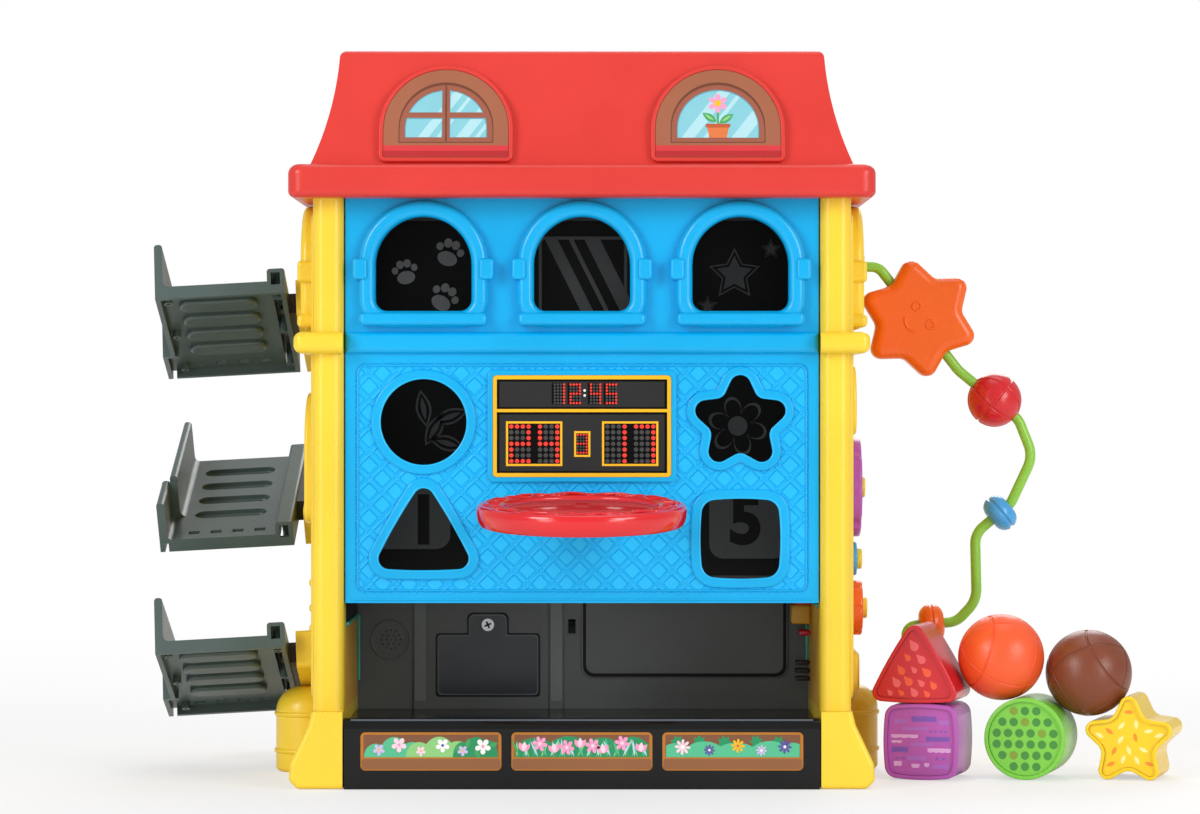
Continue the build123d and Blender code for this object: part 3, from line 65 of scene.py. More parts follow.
def plastic(name, code, rough=0.3, vary=0.05, grain=0.04, grain_scale=700.0, metal=0.0, coat=0.0,
            shine=0.5):
    """Moulded or printed plastic: slow colour drift, uneven gloss and a fine skin texture."""
    material = bpy.data.materials.new(name)
    material.use_nodes = True
    tree = material.node_tree
    link = tree.links.new
    shader = tree.nodes["Principled BSDF"]
    place = tree.nodes.new("ShaderNodeTexCoord")
    drift = noise(tree, place, 14.0, 3.0)
    ramp = tree.nodes.new("ShaderNodeValToRGB")
    base = linear(code)
    ramp.color_ramp.elements[0].position = 0.3
    ramp.color_ramp.elements[1].position = 0.7
    ramp.color_ramp.elements[0].color = [max(0.0, c * (1 - vary)) for c in base[:3]] + [1.0]
    ramp.color_ramp.elements[1].color = [min(1.0, c * (1 + vary) + 0.002) for c in base[:3]] + [1.0]
    link(drift.outputs["Fac"], ramp.inputs["Fac"])
    link(ramp.outputs["Color"], shader.inputs["Base Color"])
    gloss = tree.nodes.new("ShaderNodeMapRange")
    put(gloss, {"To Min": max(0.05, rough - 0.05), "To Max": rough + 0.07})
    smudge = noise(tree, place, 45.0, 4.0)
    link(smudge.outputs["Fac"], gloss.inputs["Value"])
    link(gloss.outputs["Result"], shader.inputs["Roughness"])
    if grain > 0:
        skin = noise(tree, place, grain_scale, 2.0)
        bump = tree.nodes.new("ShaderNodeBump")
        put(bump, {"Strength": grain, "Distance": 0.0004})
        link(skin.outputs["Fac"], bump.inputs["Height"])
        link(bump.outputs["Normal"], shader.inputs["Normal"])
    put(shader, {"Metallic": metal, "Specular IOR Level": shine, "Coat Weight": coat,
                 "Coat Roughness": 0.12})
    return material


def ink(name, code, rough=0.4):
    """A printed colour."""
    return plastic("print_" + name, code, rough)


RED = plastic("red_plastic", "D63830", 0.3, shine=0.4)
HOOP_RED = plastic("hoop_red", "DC1A20", 0.16, coat=0.3)
BLUE = plastic("blue_plastic", "00A9E4", 0.22, shine=0.4)
# The panel's own blue moulding, drawn lighter for the quilt and the hole edges: painted light.
BLUE_PAINTED_LIGHTER = plastic("blue_plastic_painted_lighter", "12B6F0", 0.2)
YELLOW = plastic("yellow_plastic", "F4D035", 0.28)
SLATE = plastic("slate_plastic", "4B5B59", 0.34, vary=0.08, grain=0.12)
BLACK = plastic("black_plastic", "0A0A0A", 0.16, vary=0.1, shine=0.35)
DARK = plastic("dark_grey_plastic", "585C5A", 0.4, vary=0.08, grain=0.2)
# The housing grey drawn lighter on the rib faces and round the speaker: painted light.
DARK_GREY_PAINTED_LIT = plastic("dark_grey_painted_lit", "6C7270", 0.4, vary=0.08, grain=0.2)
# Near-black: the power switch's own colour and the joint round the battery door, and painted shadow in
# the screw's cross and round the sign.
BLACK_AND_PAINTED_SHADOW = plastic("black_and_painted_shadow", "070808", 0.5, shine=0.2)
DOOR_DARK = plastic("door_dark_plastic", "2A2E34", 0.2, vary=0.08)
# Lighter grey for the battery door's bevel and the base's front edge: painted highlight.
GREY_PAINTED_HIGHLIGHT = plastic("grey_painted_highlight", "565C63", 0.3, vary=0.08)
CLIP = plastic("clip_brown", "2B1D18", 0.4)
WIRE_GREEN = plastic("wire_coating", "8CC63F", 0.25)
SUN_ORANGE = plastic("sun_orange", "F1640C", 0.26)
BEAD_RED = plastic("bead_red", "D01F27", 0.22)
BEAD_BLUE = plastic("bead_blue", "4AA3DF", 0.25)
PURPLE = plastic("purple_plastic", "B255B4", 0.24)
GREEN = plastic("green_plastic", "7AC943", 0.26)
BLOCK_RED = plastic("block_red", "CC1F2B", 0.22)
BLOCK_YELLOW = plastic("block_yellow", "F0CA18", 0.24)
BALL_ORANGE = plastic("ball_orange", "F15A29", 0.36, grain=0.35, grain_scale=420.0)
BALL_BROWN = plastic("ball_brown", "7A3B22", 0.36, grain=0.35, grain_scale=420.0)
STEEL = plastic("zinc_plated_steel", "C9CBCC", 0.28, vary=0.12, metal=1.0)
LAMINATE = plastic("green_laminate", "1C6B3A", 0.35)
RUBBER = plastic("silicone_rubber", "C9C8C0", 0.5)
CELL = plastic("cell_sleeve", "2A2B2E", 0.3)
# Yellow plastic drawn in a darker yellow where it stands inside the bay: painted shade.
YELLOW_PAINTED_SHADE = plastic("yellow_painted_shade", "E9AE34", 0.34)
TEAL = plastic("teal_print", "3FB9A4", 0.34)
PALE = plastic("pale_plastic", "DCDCD6", 0.34)
BROWN = plastic("window_brown", "9E5D40", 0.42)
BROWN_SASH = plastic("window_sash", "98543E", 0.42)
BROWN_LINE = plastic("window_line", "6A3820", 0.42)
SILL_RED = plastic("sill_red", "D03338", 0.36)
# The sill red drawn darker for the sill's lower strip: painted shade under its ledge.
SILL_PAINTED_SHADE = plastic("sill_red_painted_shade", "B01F24", 0.36)
GLASS = plastic("printed_glass", "82C3CF", 0.3)
GLASS_LIGHT = plastic("printed_glass_light", "ACD7DF", 0.3)
GLASS_EDGE = plastic("printed_glass_edge", "5A9FAE", 0.3)
TERRACOTTA = ink("terracotta", "D9743B")
TERRACOTTA_DARK = ink("terracotta_dark", "B8562A")
LEAF = ink("leaf", "3FA05A")
LEAF_LIGHT = ink("leaf_light", "8CC97A")
LEAF_SEA = ink("leaf_sea", "52BC8C")
LEAF_DARK = ink("leaf_dark", "1E8F5A")
PINK = ink("pink", "F29BC1")
PINK_PALE = ink("pink_pale", "F8D3DE")
LILAC = ink("lilac", "C9BCE6")
VIOLET = ink("violet", "5B4A9E")
WHITE = ink("white", "F7F7F2")
SCORE_YELLOW = plastic("score_yellow", "F6B90C", 0.34)
SCORE_PANEL = plastic("score_panel", "2B2B2B", 0.5, shine=0.15)
SCORE_BLACK = plastic("score_black", "020202", 0.5, shine=0.1)
LED_ON = plastic("score_lit", "EE3524", 0.36)
LED_OFF = plastic("score_unlit", "454545", 0.36, shine=0.2)
FRAME_ORANGE = plastic("planter_frame", "B9721B", 0.36)
PLANK = plastic("planter_plank", "8E5A34", 0.42)
PLANK_DARK = plastic("planter_soil", "7D4E30", 0.42)
GHOST = plastic("partition_print", "A9B0B2", 0.45)
GHOST_DIM = plastic("partition_print_dim", "666B6C", 0.45)
NIGHT = plastic("partition_black", "0B0C0C", 0.45, shine=0.3)
SWIRL = plastic("swirl_violet", "8E3F95", 0.26)

LOOKS = {
    RED: ["roof_shell", "front_door", "left_key"],
    BROWN: ["left_dormer_plate", "right_dormer_plate", "far_dormer_plates"],
    BLUE: ["sorter_panel", "far_panel"],
    HOOP_RED: ["hoop"],
    YELLOW: ["left_wall", "right_wall", "spinner_axles", "middle_key"],
    # The liners are the yellow of the side walls, darkened as painted shade.
    YELLOW_PAINTED_SHADE: ["left_wall_liner", "right_wall_liner"],
    SLATE: ["top_ramp", "middle_ramp", "bottom_ramp"],
    CLIP: ["ramp_clips"],
    WIRE_GREEN: ["bead_wire"],
    SUN_ORANGE: ["sun_bead", "orange_bead", "orange_spinner", "doorbell"],
    BEAD_RED: ["red_bead"],
    BEAD_BLUE: ["blue_bead", "blue_roller"],
    PURPLE: ["purple_spinner", "purple_block", "purple_block_plates"],
    GREEN: ["green_block", "green_block_plates", "right_key"],
    BLOCK_RED: ["red_block", "red_block_plates"],
    BLOCK_YELLOW: ["yellow_block", "yellow_block_plates"],
    BALL_ORANGE: ["orange_ball"],
    BALL_BROWN: ["brown_ball"],
    BLACK: ["base_tray", "speaker"],
    DARK: ["inner_housing", "housing_cover"],
    DOOR_DARK: ["battery_door"],
    STEEL: ["battery_door_screw", "housing_screws", "panel_screws", "base_screws", "roof_screws",
            "battery_contacts", "door_pin"],
    CELL: ["batteries"],
    LAMINATE: ["circuit_board", "key_board"],
    RUBBER: ["key_domes"],
    PALE: ["axle_washers"],
    BLACK_AND_PAINTED_SHADOW: ["power_switch"],
    FRAME_ORANGE: ["planter_plates"],
    SCORE_YELLOW: ["scoreboard_plate"],
}


def dress(node, material):
    """Give a CAD node its material."""
    obj = nodes[node]
    obj.data.materials.clear()
    obj.data.materials.append(material)
    obj.data.polygons.foreach_set("material_index", [0] * len(obj.data.polygons))


for look, names in LOOKS.items():
    for node in names:
        dress(node, look)


# ---------------------------------------------------------------- outlines, in millimetres
def circle(x, y, r, n=24):
    """A circle of n points."""
    return [(x + r * cos(2 * pi * i / n), y + r * sin(2 * pi * i / n)) for i in range(n)]


def ellipse(x, y, a, b, turn=0.0, n=24):
    """An ellipse turned by turn degrees."""
    c, s = cos(radians(turn)), sin(radians(turn))
    points = [(a * cos(2 * pi * i / n), b * sin(2 * pi * i / n)) for i in range(n)]
    return [(x + u * c - v * s, y + u * s + v * c) for u, v in points]


def rounded_box(x0, y0, x1, y1, r=0.0, n=5):
    """A rectangle with rounded corners."""
    if r <= 0:
        return [(x0, y0), (x1, y0), (x1, y1), (x0, y1)]
    loop = []
    corners = ((x1 - r, y0 + r, -90), (x1 - r, y1 - r, 0), (x0 + r, y1 - r, 90), (x0 + r, y0 + r, 180))
    for x, y, start in corners:
        for i in range(n + 1):
            a = radians(start + 90 * i / n)
            loop.append((x + r * cos(a), y + r * sin(a)))
    return loop


def arch(half, foot, top, n=28):
    """A round-headed outline between foot and top."""
    spring = top - half
    loop = [(-half, foot), (half, foot)]
    for i in range(n + 1):
        a = pi * i / n
        loop.append((half * cos(a), spring + half * sin(a)))
    return loop


def pane(half, spring, low, high, gap, side, steps=12):
    """One quarter of an arched window, between two heights, right (1) or left (-1) of the middle."""
    loop = [(gap, low)]
    for i in range(steps + 1):
        z = low + (high - low) * i / steps
        reach = half if z <= spring else sqrt(max(0.0, half * half - (z - spring) ** 2))
        loop.append((max(gap + 0.1, reach), z))
    loop.append((gap, high))
    return [(side * x, z) for x, z in loop][::side]


def petals(x, y, r, count, waist, turn=0.0, n=8):
    """A flower outline with round petals."""
    loop = []
    steps = count * n
    for i in range(steps):
        a = 2 * pi * i / steps
        swing = abs(sin(count * a / 2))
        reach = r * (waist + (1 - waist) * swing ** 0.7)
        loop.append((x + reach * cos(a + radians(turn)), y + reach * sin(a + radians(turn))))
    return loop


def star(x, y, r, waist, points=5, turn=90.0):
    """A star; waist is the share of r at its notches."""
    loop = []
    for i in range(2 * points):
        reach = r if i % 2 == 0 else r * waist
        a = radians(turn + 180 * i / points)
        loop.append((x + reach * cos(a), y + reach * sin(a)))
    return loop


def leaf(x, y, length, width, turn):
    """A pointed leaf, centred on x and y."""
    half = length / 2
    steps = 8
    upper = [(-half + length * i / steps, width / 2 * sin(pi * i / steps))
             for i in range(steps + 1)]
    lower = [(-u, -v) for u, v in upper[1:-1]]
    c, s = cos(radians(turn)), sin(radians(turn))
    return [(x + u * c - v * s, y + u * s + v * c) for u, v in upper[::-1] + lower[::-1]]


def drop(x, y, r, turn):
    """A drop with a round head and a tip."""
    loop = [(2.1 * r, 0.0)]
    for i in range(15):
        a = radians(62 + (360 - 124) * i / 14)
        loop.append((r * cos(a), r * sin(a)))
    c, s = cos(radians(turn)), sin(radians(turn))
    return [(x + u * c - v * s, y + u * s + v * c) for u, v in loop]


def hills(x0, x1, floor, crests):
    """A low hedge of round bumps; crests are centre, half width and height."""
    loop = [(x1, floor)]
    steps = int((x1 - x0) / 0.8)
    for i in range(steps + 1):
        x = x1 - (x1 - x0) * i / steps
        top = floor + 0.6
        for centre, half, height in crests:
            share = (x - centre) / half
            if abs(share) < 1:
                top = max(top, floor + height * sqrt(1 - share * share))
        loop.append((x, top))
    loop.append((x0, floor))
    return loop[::-1]


# ---------------------------------------------------------------- printed sheets
def face_frame(origin, right, out):
    """Frame of a face: first axis right, second up, third outwards; the origin is in millimetres."""
    right, out = Vector(right).normalized(), Vector(out).normalized()
    up = out.cross(right)
    matrix = Matrix((right, up, out)).transposed().to_4x4()
    matrix.translation = Vector(origin) * MM
    return matrix


def front_frame(x, y, z):
    """Frame of a face that looks to the front."""
    return face_frame((x, y, z), (1, 0, 0), (0, -1, 0))


def settle(name, mesh, body):
    """Link a finished mesh, in place, and let it ride on its body."""
    obj = bpy.data.objects.new(name, mesh)
    bpy.context.scene.collection.objects.link(obj)
    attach(obj, body)
    return obj


def finish(name, mesh, materials, body):
    """Turn a bmesh, which is freed, into an object that rides on its body."""
    data = bpy.data.meshes.new(name)
    mesh.to_mesh(data)
    mesh.free()
    for material in materials:
        data.materials.append(material)
    return settle(name, data, body)


def curve_mesh(name, curve, material):
    """The mesh of a curve or text, in one material."""
    source = bpy.data.objects.new(name, curve)
    mesh = bpy.data.meshes.new_from_object(source)
    bpy.data.objects.remove(source)
    mesh.materials.clear()
    mesh.materials.append(material)
    return mesh


class Sheet:
    """Flat shapes stacked on a face, each layer standing a little prouder than the one under it."""
    step = 0.05

    def __init__(self):
        self.mesh = bmesh.new()
        self.materials = []

    def add(self, material, level, *loops):
        """Close each outline into a thin prism on this level."""
        if material not in self.materials:
            self.materials.append(material)
        slot = self.materials.index(material)
        low, high = (level - 1) * self.step, level * self.step
        for loop in loops:
            bottom = [self.mesh.verts.new((u * MM, v * MM, low * MM)) for u, v in loop]
            top = [self.mesh.verts.new((u * MM, v * MM, high * MM)) for u, v in loop]
            faces = [self.mesh.faces.new(top), self.mesh.faces.new(bottom[::-1])]
            for i in range(len(loop)):
                j = (i + 1) % len(loop)
                faces.append(self.mesh.faces.new((bottom[i], bottom[j], top[j], top[i])))
            for face in faces:
                face.material_index = slot
                face.smooth = False

    def place(self, name, matrix, body, slot):
        """Make the stack an object on the face that matrix gives."""
        self.mesh.normal_update()
        bmesh.ops.triangulate(self.mesh, faces=[f for f in self.mesh.faces if len(f.verts) > 4])
        bmesh.ops.recalc_face_normals(self.mesh, faces=self.mesh.faces)
        self.mesh.transform(matrix)
        return finish(name, self.mesh, self.materials, body)


# ---------------------------------------------------------------- dormer windows
# Heights are above the plate's foot, widths from its middle line
SILL_HALF = 37.4
PANE_HALF, PANE_EDGE = 24.0, 24.6
PANE_SPRING = 18.0
PANE_FOOT, PANE_HEAD = 12.4, 42.0
QUARTERS = ((12.6, 25.0), (28.4, 42.6))
QUARTER_INSET = (0.1, 0.8)
SASH_HALF = 2.6
STREAK_LEAN = 0.75


def window_frame(sheet):
    """Outlined frame, sash line and sill of a dormer window, with painted shade on the sill's lower
    strip.
    """
    sheet.add(SILL_RED, 1, rounded_box(-SILL_HALF, 0.2, SILL_HALF, 7.6))
    # Lower strip of the sill in darker red: painted shade.
    sheet.add(SILL_PAINTED_SHADE, 2, rounded_box(-SILL_HALF, 0.2, SILL_HALF, 4.2))
    sheet.add(BROWN_LINE, 1, arch(28.4, 9.2, 47.6))
    sheet.add(BROWN_SASH, 2, arch(27.8, 9.8, 45.8))


def clip_to_pane(loop, low, high, left, right):
    """The part of a convex outline that lies inside an arched pane."""
    edges = [((0, low), (0, -1)), ((0, high), (0, 1)), ((left, 0), (-1, 0)), ((right, 0), (1, 0))]
    for i in range(1, 18):
        c, s = cos(pi * i / 18), sin(pi * i / 18)
        edges.append(((PANE_HALF * c, PANE_SPRING + PANE_HALF * s), (c, s)))
    for (px, py), (nx, ny) in edges:
        kept = []
        for here, after in zip(loop, loop[1:] + loop[:1]):
            d0 = (here[0] - px) * nx + (here[1] - py) * ny
            d1 = (after[0] - px) * nx + (after[1] - py) * ny
            if d0 <= 0:
                kept.append(here)
            if d0 < 0 < d1 or d1 < 0 < d0:
                t = d0 / (d0 - d1)
                kept.append((here[0] + t * (after[0] - here[0]), here[1] + t * (after[1] - here[1])))
        loop = kept
        if len(loop) < 3:
            return []
    return loop


def streaks(sheet, places, foot, span, inset=(0.0, 0.0), sides=(-PANE_HALF, PANE_HALF)):
    """Slanting light streaks on a pane; places hold the start at foot and the width of each."""
    low, high = span
    for x, width in places:
        start, end = (x + (v - foot) * STREAK_LEAN for v in span)
        quad = [(start, low), (start + width, low), (end + width, high), (end, high)]
        cut = clip_to_pane(quad, low + inset[0], high - inset[1], *sides)
        if len(cut) > 2:
            sheet.add(GLASS_LIGHT, 5, cut)


def four_pane_window(name, matrix, slot):
    """Arched window with a cross of bars."""
    sheet = Sheet()
    window_frame(sheet)
    sheet.add(BROWN_LINE, 3, rounded_box(-0.5, 10.0, 0.5, 45.6))
    places = ((-17.0, 6.5), (-6.0, 2.6), (6.0, 7.5), (17.0, 2.8))
    for side in (-1, 1):
        sides = sorted((side * SASH_HALF, side * PANE_HALF))
        for foot, head in QUARTERS:
            low, high = foot + QUARTER_INSET[0], head - QUARTER_INSET[1]
            sheet.add(GLASS_EDGE, 3, pane(PANE_EDGE, PANE_SPRING, foot, head, SASH_HALF - 0.4, side))
            sheet.add(GLASS, 4, pane(PANE_HALF, PANE_SPRING, low, high, SASH_HALF, side))
            streaks(sheet, places, QUARTERS[0][0], (foot, head), QUARTER_INSET, sides)
    sheet.place(name, matrix, "house", slot)


def plant_window(name, matrix, slot):
    """Single arched pane with a flower in a pot behind it."""
    sheet = Sheet()
    window_frame(sheet)
    sheet.add(GLASS_EDGE, 3, arch(PANE_EDGE, PANE_FOOT, 42.8))
    sheet.add(GLASS, 4, arch(PANE_HALF, PANE_FOOT, PANE_HEAD))
    streaks(sheet, ((-22.0, 8.0), (-9.0, 3.0), (8.0, 9.0)), PANE_FOOT, (PANE_FOOT, PANE_HEAD))
    sheet.add(TERRACOTTA, 6, [(-5.2, PANE_FOOT), (5.2, PANE_FOOT), (6.6, 19.6), (-6.6, 19.6)])
    sheet.add(TERRACOTTA_DARK, 7, rounded_box(-7.4, 18.8, 7.4, 21.2, 0.8))
    sheet.add(LEAF, 6, rounded_box(-0.6, 20.0, 0.6, 31.0))
    sheet.add(LEAF, 6, leaf(-5.0, 25.2, 10.5, 4.4, 145), leaf(5.0, 24.4, 10.5, 4.4, 35))
    sheet.add(LEAF_LIGHT, 7, leaf(-5.2, 25.4, 7.0, 1.6, 145), leaf(5.2, 24.6, 7.0, 1.6, 35))
    sheet.add(PINK, 7, petals(0, 34.2, 6.0, 6, 0.45))
    sheet.add(SCORE_YELLOW, 8, circle(0, 34.2, 2.0, 16))
    sheet.place(name, matrix, "house", slot)


DORMER_X = 81.5
DORMER_FOOT = (137.3, 377.0)
DORMER_LEAN = atan2(17.9, 63.76)
PLATE_TOP = 1.0


def dormer_frame(side, x):
    """Frame of the dormer plate's face on the front (-1) or far (1) slope."""
    out = Vector((0, side * cos(DORMER_LEAN), sin(DORMER_LEAN)))
    origin = Vector((x, side * DORMER_FOOT[0], DORMER_FOOT[1])) + out * PLATE_TOP
    return face_frame(origin, (-side, 0, 0), out)


four_pane_window("left_dormer_print", dormer_frame(-1, -DORMER_X), "left_dormer_plate")
plant_window("right_dormer_print", dormer_frame(-1, DORMER_X), "right_dormer_plate")
four_pane_window("far_dormer_print_a", dormer_frame(1, DORMER_X), "far_dormer_plates")
four_pane_window("far_dormer_print_b", dormer_frame(1, -DORMER_X), "far_dormer_plates")

# ---------------------------------------------------------------- scoreboard
# Rows of four dots, from the top
DIGITS = {
    "1": "0001000100010001000100010001", "2": "1111000100011111100010001111",
    "3": "1111000100011111000100011111", "4": "1001100110011111000100010001",
    "5": "1111100010001111000100011111", "7": "1111000100010001000100010001",
}
SCORE_HALF = (53.5, 30.5)
SCORE_FACE = (0, -131.0, 216.5)


def led_digit(sheet, digit, x, top, pitch, radius):
    """A digit of four by seven dots, its left column at x."""
    for index, cell in enumerate(DIGITS[digit]):
        row, column = divmod(index, 4)
        dot = circle(x + column * pitch, top - row * pitch, radius, 10)
        sheet.add(LED_ON if cell == "1" else LED_OFF, 5, dot)


def scoreboard():
    """Yellow-framed board with a clock above two scores; zero is the middle of the plate."""
    sheet = Sheet()
    half_x, half_z = SCORE_HALF
    for low, high in ((10.7, half_z - 2.8), (-half_z + 2.8, 8.0)):
        sheet.add(SCORE_BLACK, 1, rounded_box(-half_x + 2.4, low - 0.4, half_x - 2.4, high + 0.4))
        sheet.add(SCORE_PANEL, 2, rounded_box(-half_x + 4.0, low + 0.8, half_x - 4.0, high - 1.0))
    for x in (-17.3, -7.8, 4.4, 13.9):
        sheet.add(SCORE_BLACK, 3, rounded_box(x - 0.9, 13.0, x + 6.4, 26.0))
    for x, digit in ((-16.3, "1"), (-6.8, "2"), (5.4, "4"), (14.9, "5")):
        led_digit(sheet, digit, x, 25.0, 1.85, 0.72)
    sheet.add(WHITE, 3, circle(1.6, 21.4, 0.75, 12), circle(1.6, 18.4, 0.75, 12))
    for x, pair in ((-45.6, "24"), (12.0, "17")):
        sheet.add(SCORE_YELLOW, 3, rounded_box(x, -23.9, x + 33.8, 2.9))
        sheet.add(SCORE_BLACK, 4, rounded_box(x + 1.3, -22.6, x + 32.5, 1.6))
        led_digit(sheet, pair[0], x + 3.2, -0.2, 3.46, 1.35)
        led_digit(sheet, pair[1], x + 20.4, -0.2, 3.46, 1.35)
    sheet.add(SCORE_YELLOW, 3, rounded_box(-4.7, -18.4, 5.0, -3.0))
    sheet.add(SCORE_BLACK, 4, rounded_box(-3.5, -17.2, 3.8, -4.2))
    led_digit(sheet, "3", -2.6, -5.1, 1.8, 0.68)
    sheet.place("scoreboard_print", front_frame(*SCORE_FACE), "house", "scoreboard_plate")


scoreboard()

# ---------------------------------------------------------------- planter labels
PLANTER_HALF = 41.4
PLANTER_SOIL = -3.4
PLANTER_PITCH = 90.0
PLANTER_FACE = (-146.0, 22.65)
BED_END = 39.8               # green reaches this far from the middle


def planter_base(sheet):
    """Soil and lower plank of a flower box; zero is the middle of the plate."""
    sheet.add(PLANK, 1, rounded_box(-PLANTER_HALF, -10.7, PLANTER_HALF, -4.4, 1.2))
    sheet.add(PLANK_DARK, 1, rounded_box(-40.2, PLANTER_SOIL, 40.2, 10.0))


def tulip(sheet, x, z, size, turn):
    """A cup flower of three leaf-shaped petals."""
    for spread in (-34, 0, 34):
        a = radians(turn + spread)
        centre = (x + size * 0.5 * cos(a), z + size * 0.5 * sin(a))
        petal = leaf(*centre, size, size * 0.5, turn + spread)
        sheet.add(PINK if spread else PINK_PALE, 7 if spread else 8, petal)


def blossom(sheet, x, z, size, colour, heart, count, waist):
    """A round-petalled flower with a heart of another colour."""
    sheet.add(colour, 7, petals(x, z, size, count, waist, 18))
    sheet.add(heart, 8, circle(x, z, size * 0.22, 10))


def planter_left(sheet):
    """Three bushes with five-petalled flowers."""
    sea, light, dark = (
        [(-33, 7, 8.0), (-22, 9, 12.0), (-11, 8, 9.0)], [(-7, 8, 9.0), (5, 10, 12.2), (16, 9, 9.5)],
        [(19, 6, 9.0), (27, 8, 12.0), (35, 5, 10.0)])
    sheet.add(LEAF_SEA, 2, hills(-BED_END, -4, PLANTER_SOIL, sea))
    sheet.add(LEAF_LIGHT, 3, hills(-15, 25, PLANTER_SOIL, light))
    sheet.add(LEAF_DARK, 4, hills(13, BED_END, PLANTER_SOIL, dark))
    for i, x in enumerate((16.5, 22.0, 27.5, 33.0, 37.0)):
        sheet.add(LEAF, 5, leaf(x, 2.0 + 3.4 * sin(2.2 * i), 6.5, 2.8, 35 + 41 * i))
    for x, z, size, colour, heart in (
            (-31, 1.0, 3.6, LILAC, SCORE_YELLOW), (-19, 4.0, 4.6, PINK_PALE, PINK),
            (-6, 0.2, 3.0, PINK_PALE, SCORE_YELLOW), (7, 3.6, 4.2, WHITE, VIOLET),
            (19, 0.4, 3.2, LILAC, SCORE_YELLOW), (31, 3.0, 4.8, WHITE, PINK)):
        blossom(sheet, x, z, size, colour, heart, 5, 0.4)


def planter_middle(sheet):
    """Tall grass with tulips and open pink flowers."""
    crests = [(-28, 14, 11.4), (-8, 15, 12.4), (12, 14, 11.6), (30, 12, 12.2)]
    sheet.add(LEAF_DARK, 2, hills(-BED_END, BED_END, PLANTER_SOIL, crests))
    root = PLANTER_SOIL + 0.2
    for i in range(44):
        turn = 90 + 30 * sin(2.1 * i)
        length = 9.6 + 2.4 * sin(1.3 * i)
        x = -38.7 + 1.8 * i + length / 2 * cos(radians(turn))
        z = root + length / 2 * sin(radians(turn))
        colour = (LEAF_LIGHT, LEAF, LEAF_SEA, GLASS_LIGHT)[i % 4]
        sheet.add(colour, 3 + i % 4, leaf(x, z, length, 1.4, turn))
    for x, z, turn in ((-35, 0.0, 80), (-16, -0.8, 100), (-1, 2.2, 90), (13, -1.2, 98), (35, -0.4, 84)):
        tulip(sheet, x, z, 6.0, turn)
    for x, z in ((-25, 4.6), (-9, 2.4), (6.5, 3.4), (24, 5.0)):
        blossom(sheet, x, z, 4.6, PINK, PINK_PALE, 6, 0.35)


def planter_right(sheet):
    """A clipped hedge with jagged leaves and many-petalled flowers."""
    for x, z, size, turn in ((-33, 5.2, 4.6, 10), (-20, 5.6, 4.4, 40), (-5, 5.4, 4.4, 0),
                             (14, 5.8, 4.2, 25), (27, 5.0, 4.6, 60)):
        sheet.add(LEAF_DARK, 3, star(x, z, size, 0.62, 7, turn))
    crests = [(-34, 10, 8.4), (-17, 13, 9.4), (2, 14, 8.6), (22, 13, 9.6), (36, 9, 8.6)]
    sheet.add(LEAF_SEA, 4, hills(-BED_END, BED_END, PLANTER_SOIL, crests))
    for x, z, size, colour, heart in (
            (-30, 2.6, 4.8, PINK_PALE, WHITE), (-14, 0.8, 3.4, VIOLET, WHITE),
            (3, 3.4, 4.2, SCORE_YELLOW, TERRACOTTA), (17, 0.6, 3.4, LILAC, WHITE),
            (31, 2.8, 4.2, VIOLET, WHITE)):
        blossom(sheet, x, z, size, colour, heart, 8, 0.24)


PLANTERS = (("left", planter_left), ("middle", planter_middle), ("right", planter_right))
for index, (label, fill) in enumerate(PLANTERS):
    label_sheet = Sheet()
    planter_base(label_sheet)
    fill(label_sheet)
    spot = front_frame((index - 1) * PLANTER_PITCH, *PLANTER_FACE)
    label_sheet.place(f"{label}_planter_print", spot, "house", "planter_plates")

# ---------------------------------------------------------------- prints on the partition
PARTITION_Y = 10.0


def paw(sheet, x, z, size, turn):
    """A paw mark: a pad and four toes."""
    c, s = cos(radians(turn)), sin(radians(turn))
    sheet.add(GHOST, 2, ellipse(x, z, size, size * 0.72, turn))
    for u, v, r in ((-1.05, 0.95, 0.40), (-0.38, 1.5, 0.46), (0.42, 1.5, 0.46), (1.08, 0.92, 0.40)):
        centre = (x + size * (u * c - v * s), z + size * (u * s + v * c))
        sheet.add(GHOST, 2, ellipse(*centre, size * r * 0.9, size * r, turn))


def streaked_glass(sheet):
    """Outlined pane with slanting streaks."""
    low, high = 284, 334
    sheet.add(GHOST_DIM, 2, rounded_box(-28, low - 2, 28, high + 2, 3))
    sheet.add(NIGHT, 3, rounded_box(-26, low, 26, high, 2))
    for x, width in ((-24, 8), (-9, 3), (1, 10)):
        top_x = x + (high - low) * 0.5
        quad = [(top_x, low), (top_x + width, low), (x + width, high), (x, high)]
        sheet.add(GHOST_DIM, 4, quad)


def numeral(name, text, x):
    """A plain dark number on the light field behind a hole."""
    curve = bpy.data.curves.new(name, "FONT")
    curve.body = text
    curve.size = 0.042
    curve.align_x, curve.align_y = "CENTER", "CENTER"
    curve.extrude = 0.00003
    curve.offset = 0.0016
    mesh = curve_mesh(name, curve, NIGHT)
    mesh.transform(front_frame(x, PARTITION_Y - 0.14, 155))
    settle(name, mesh, "house")


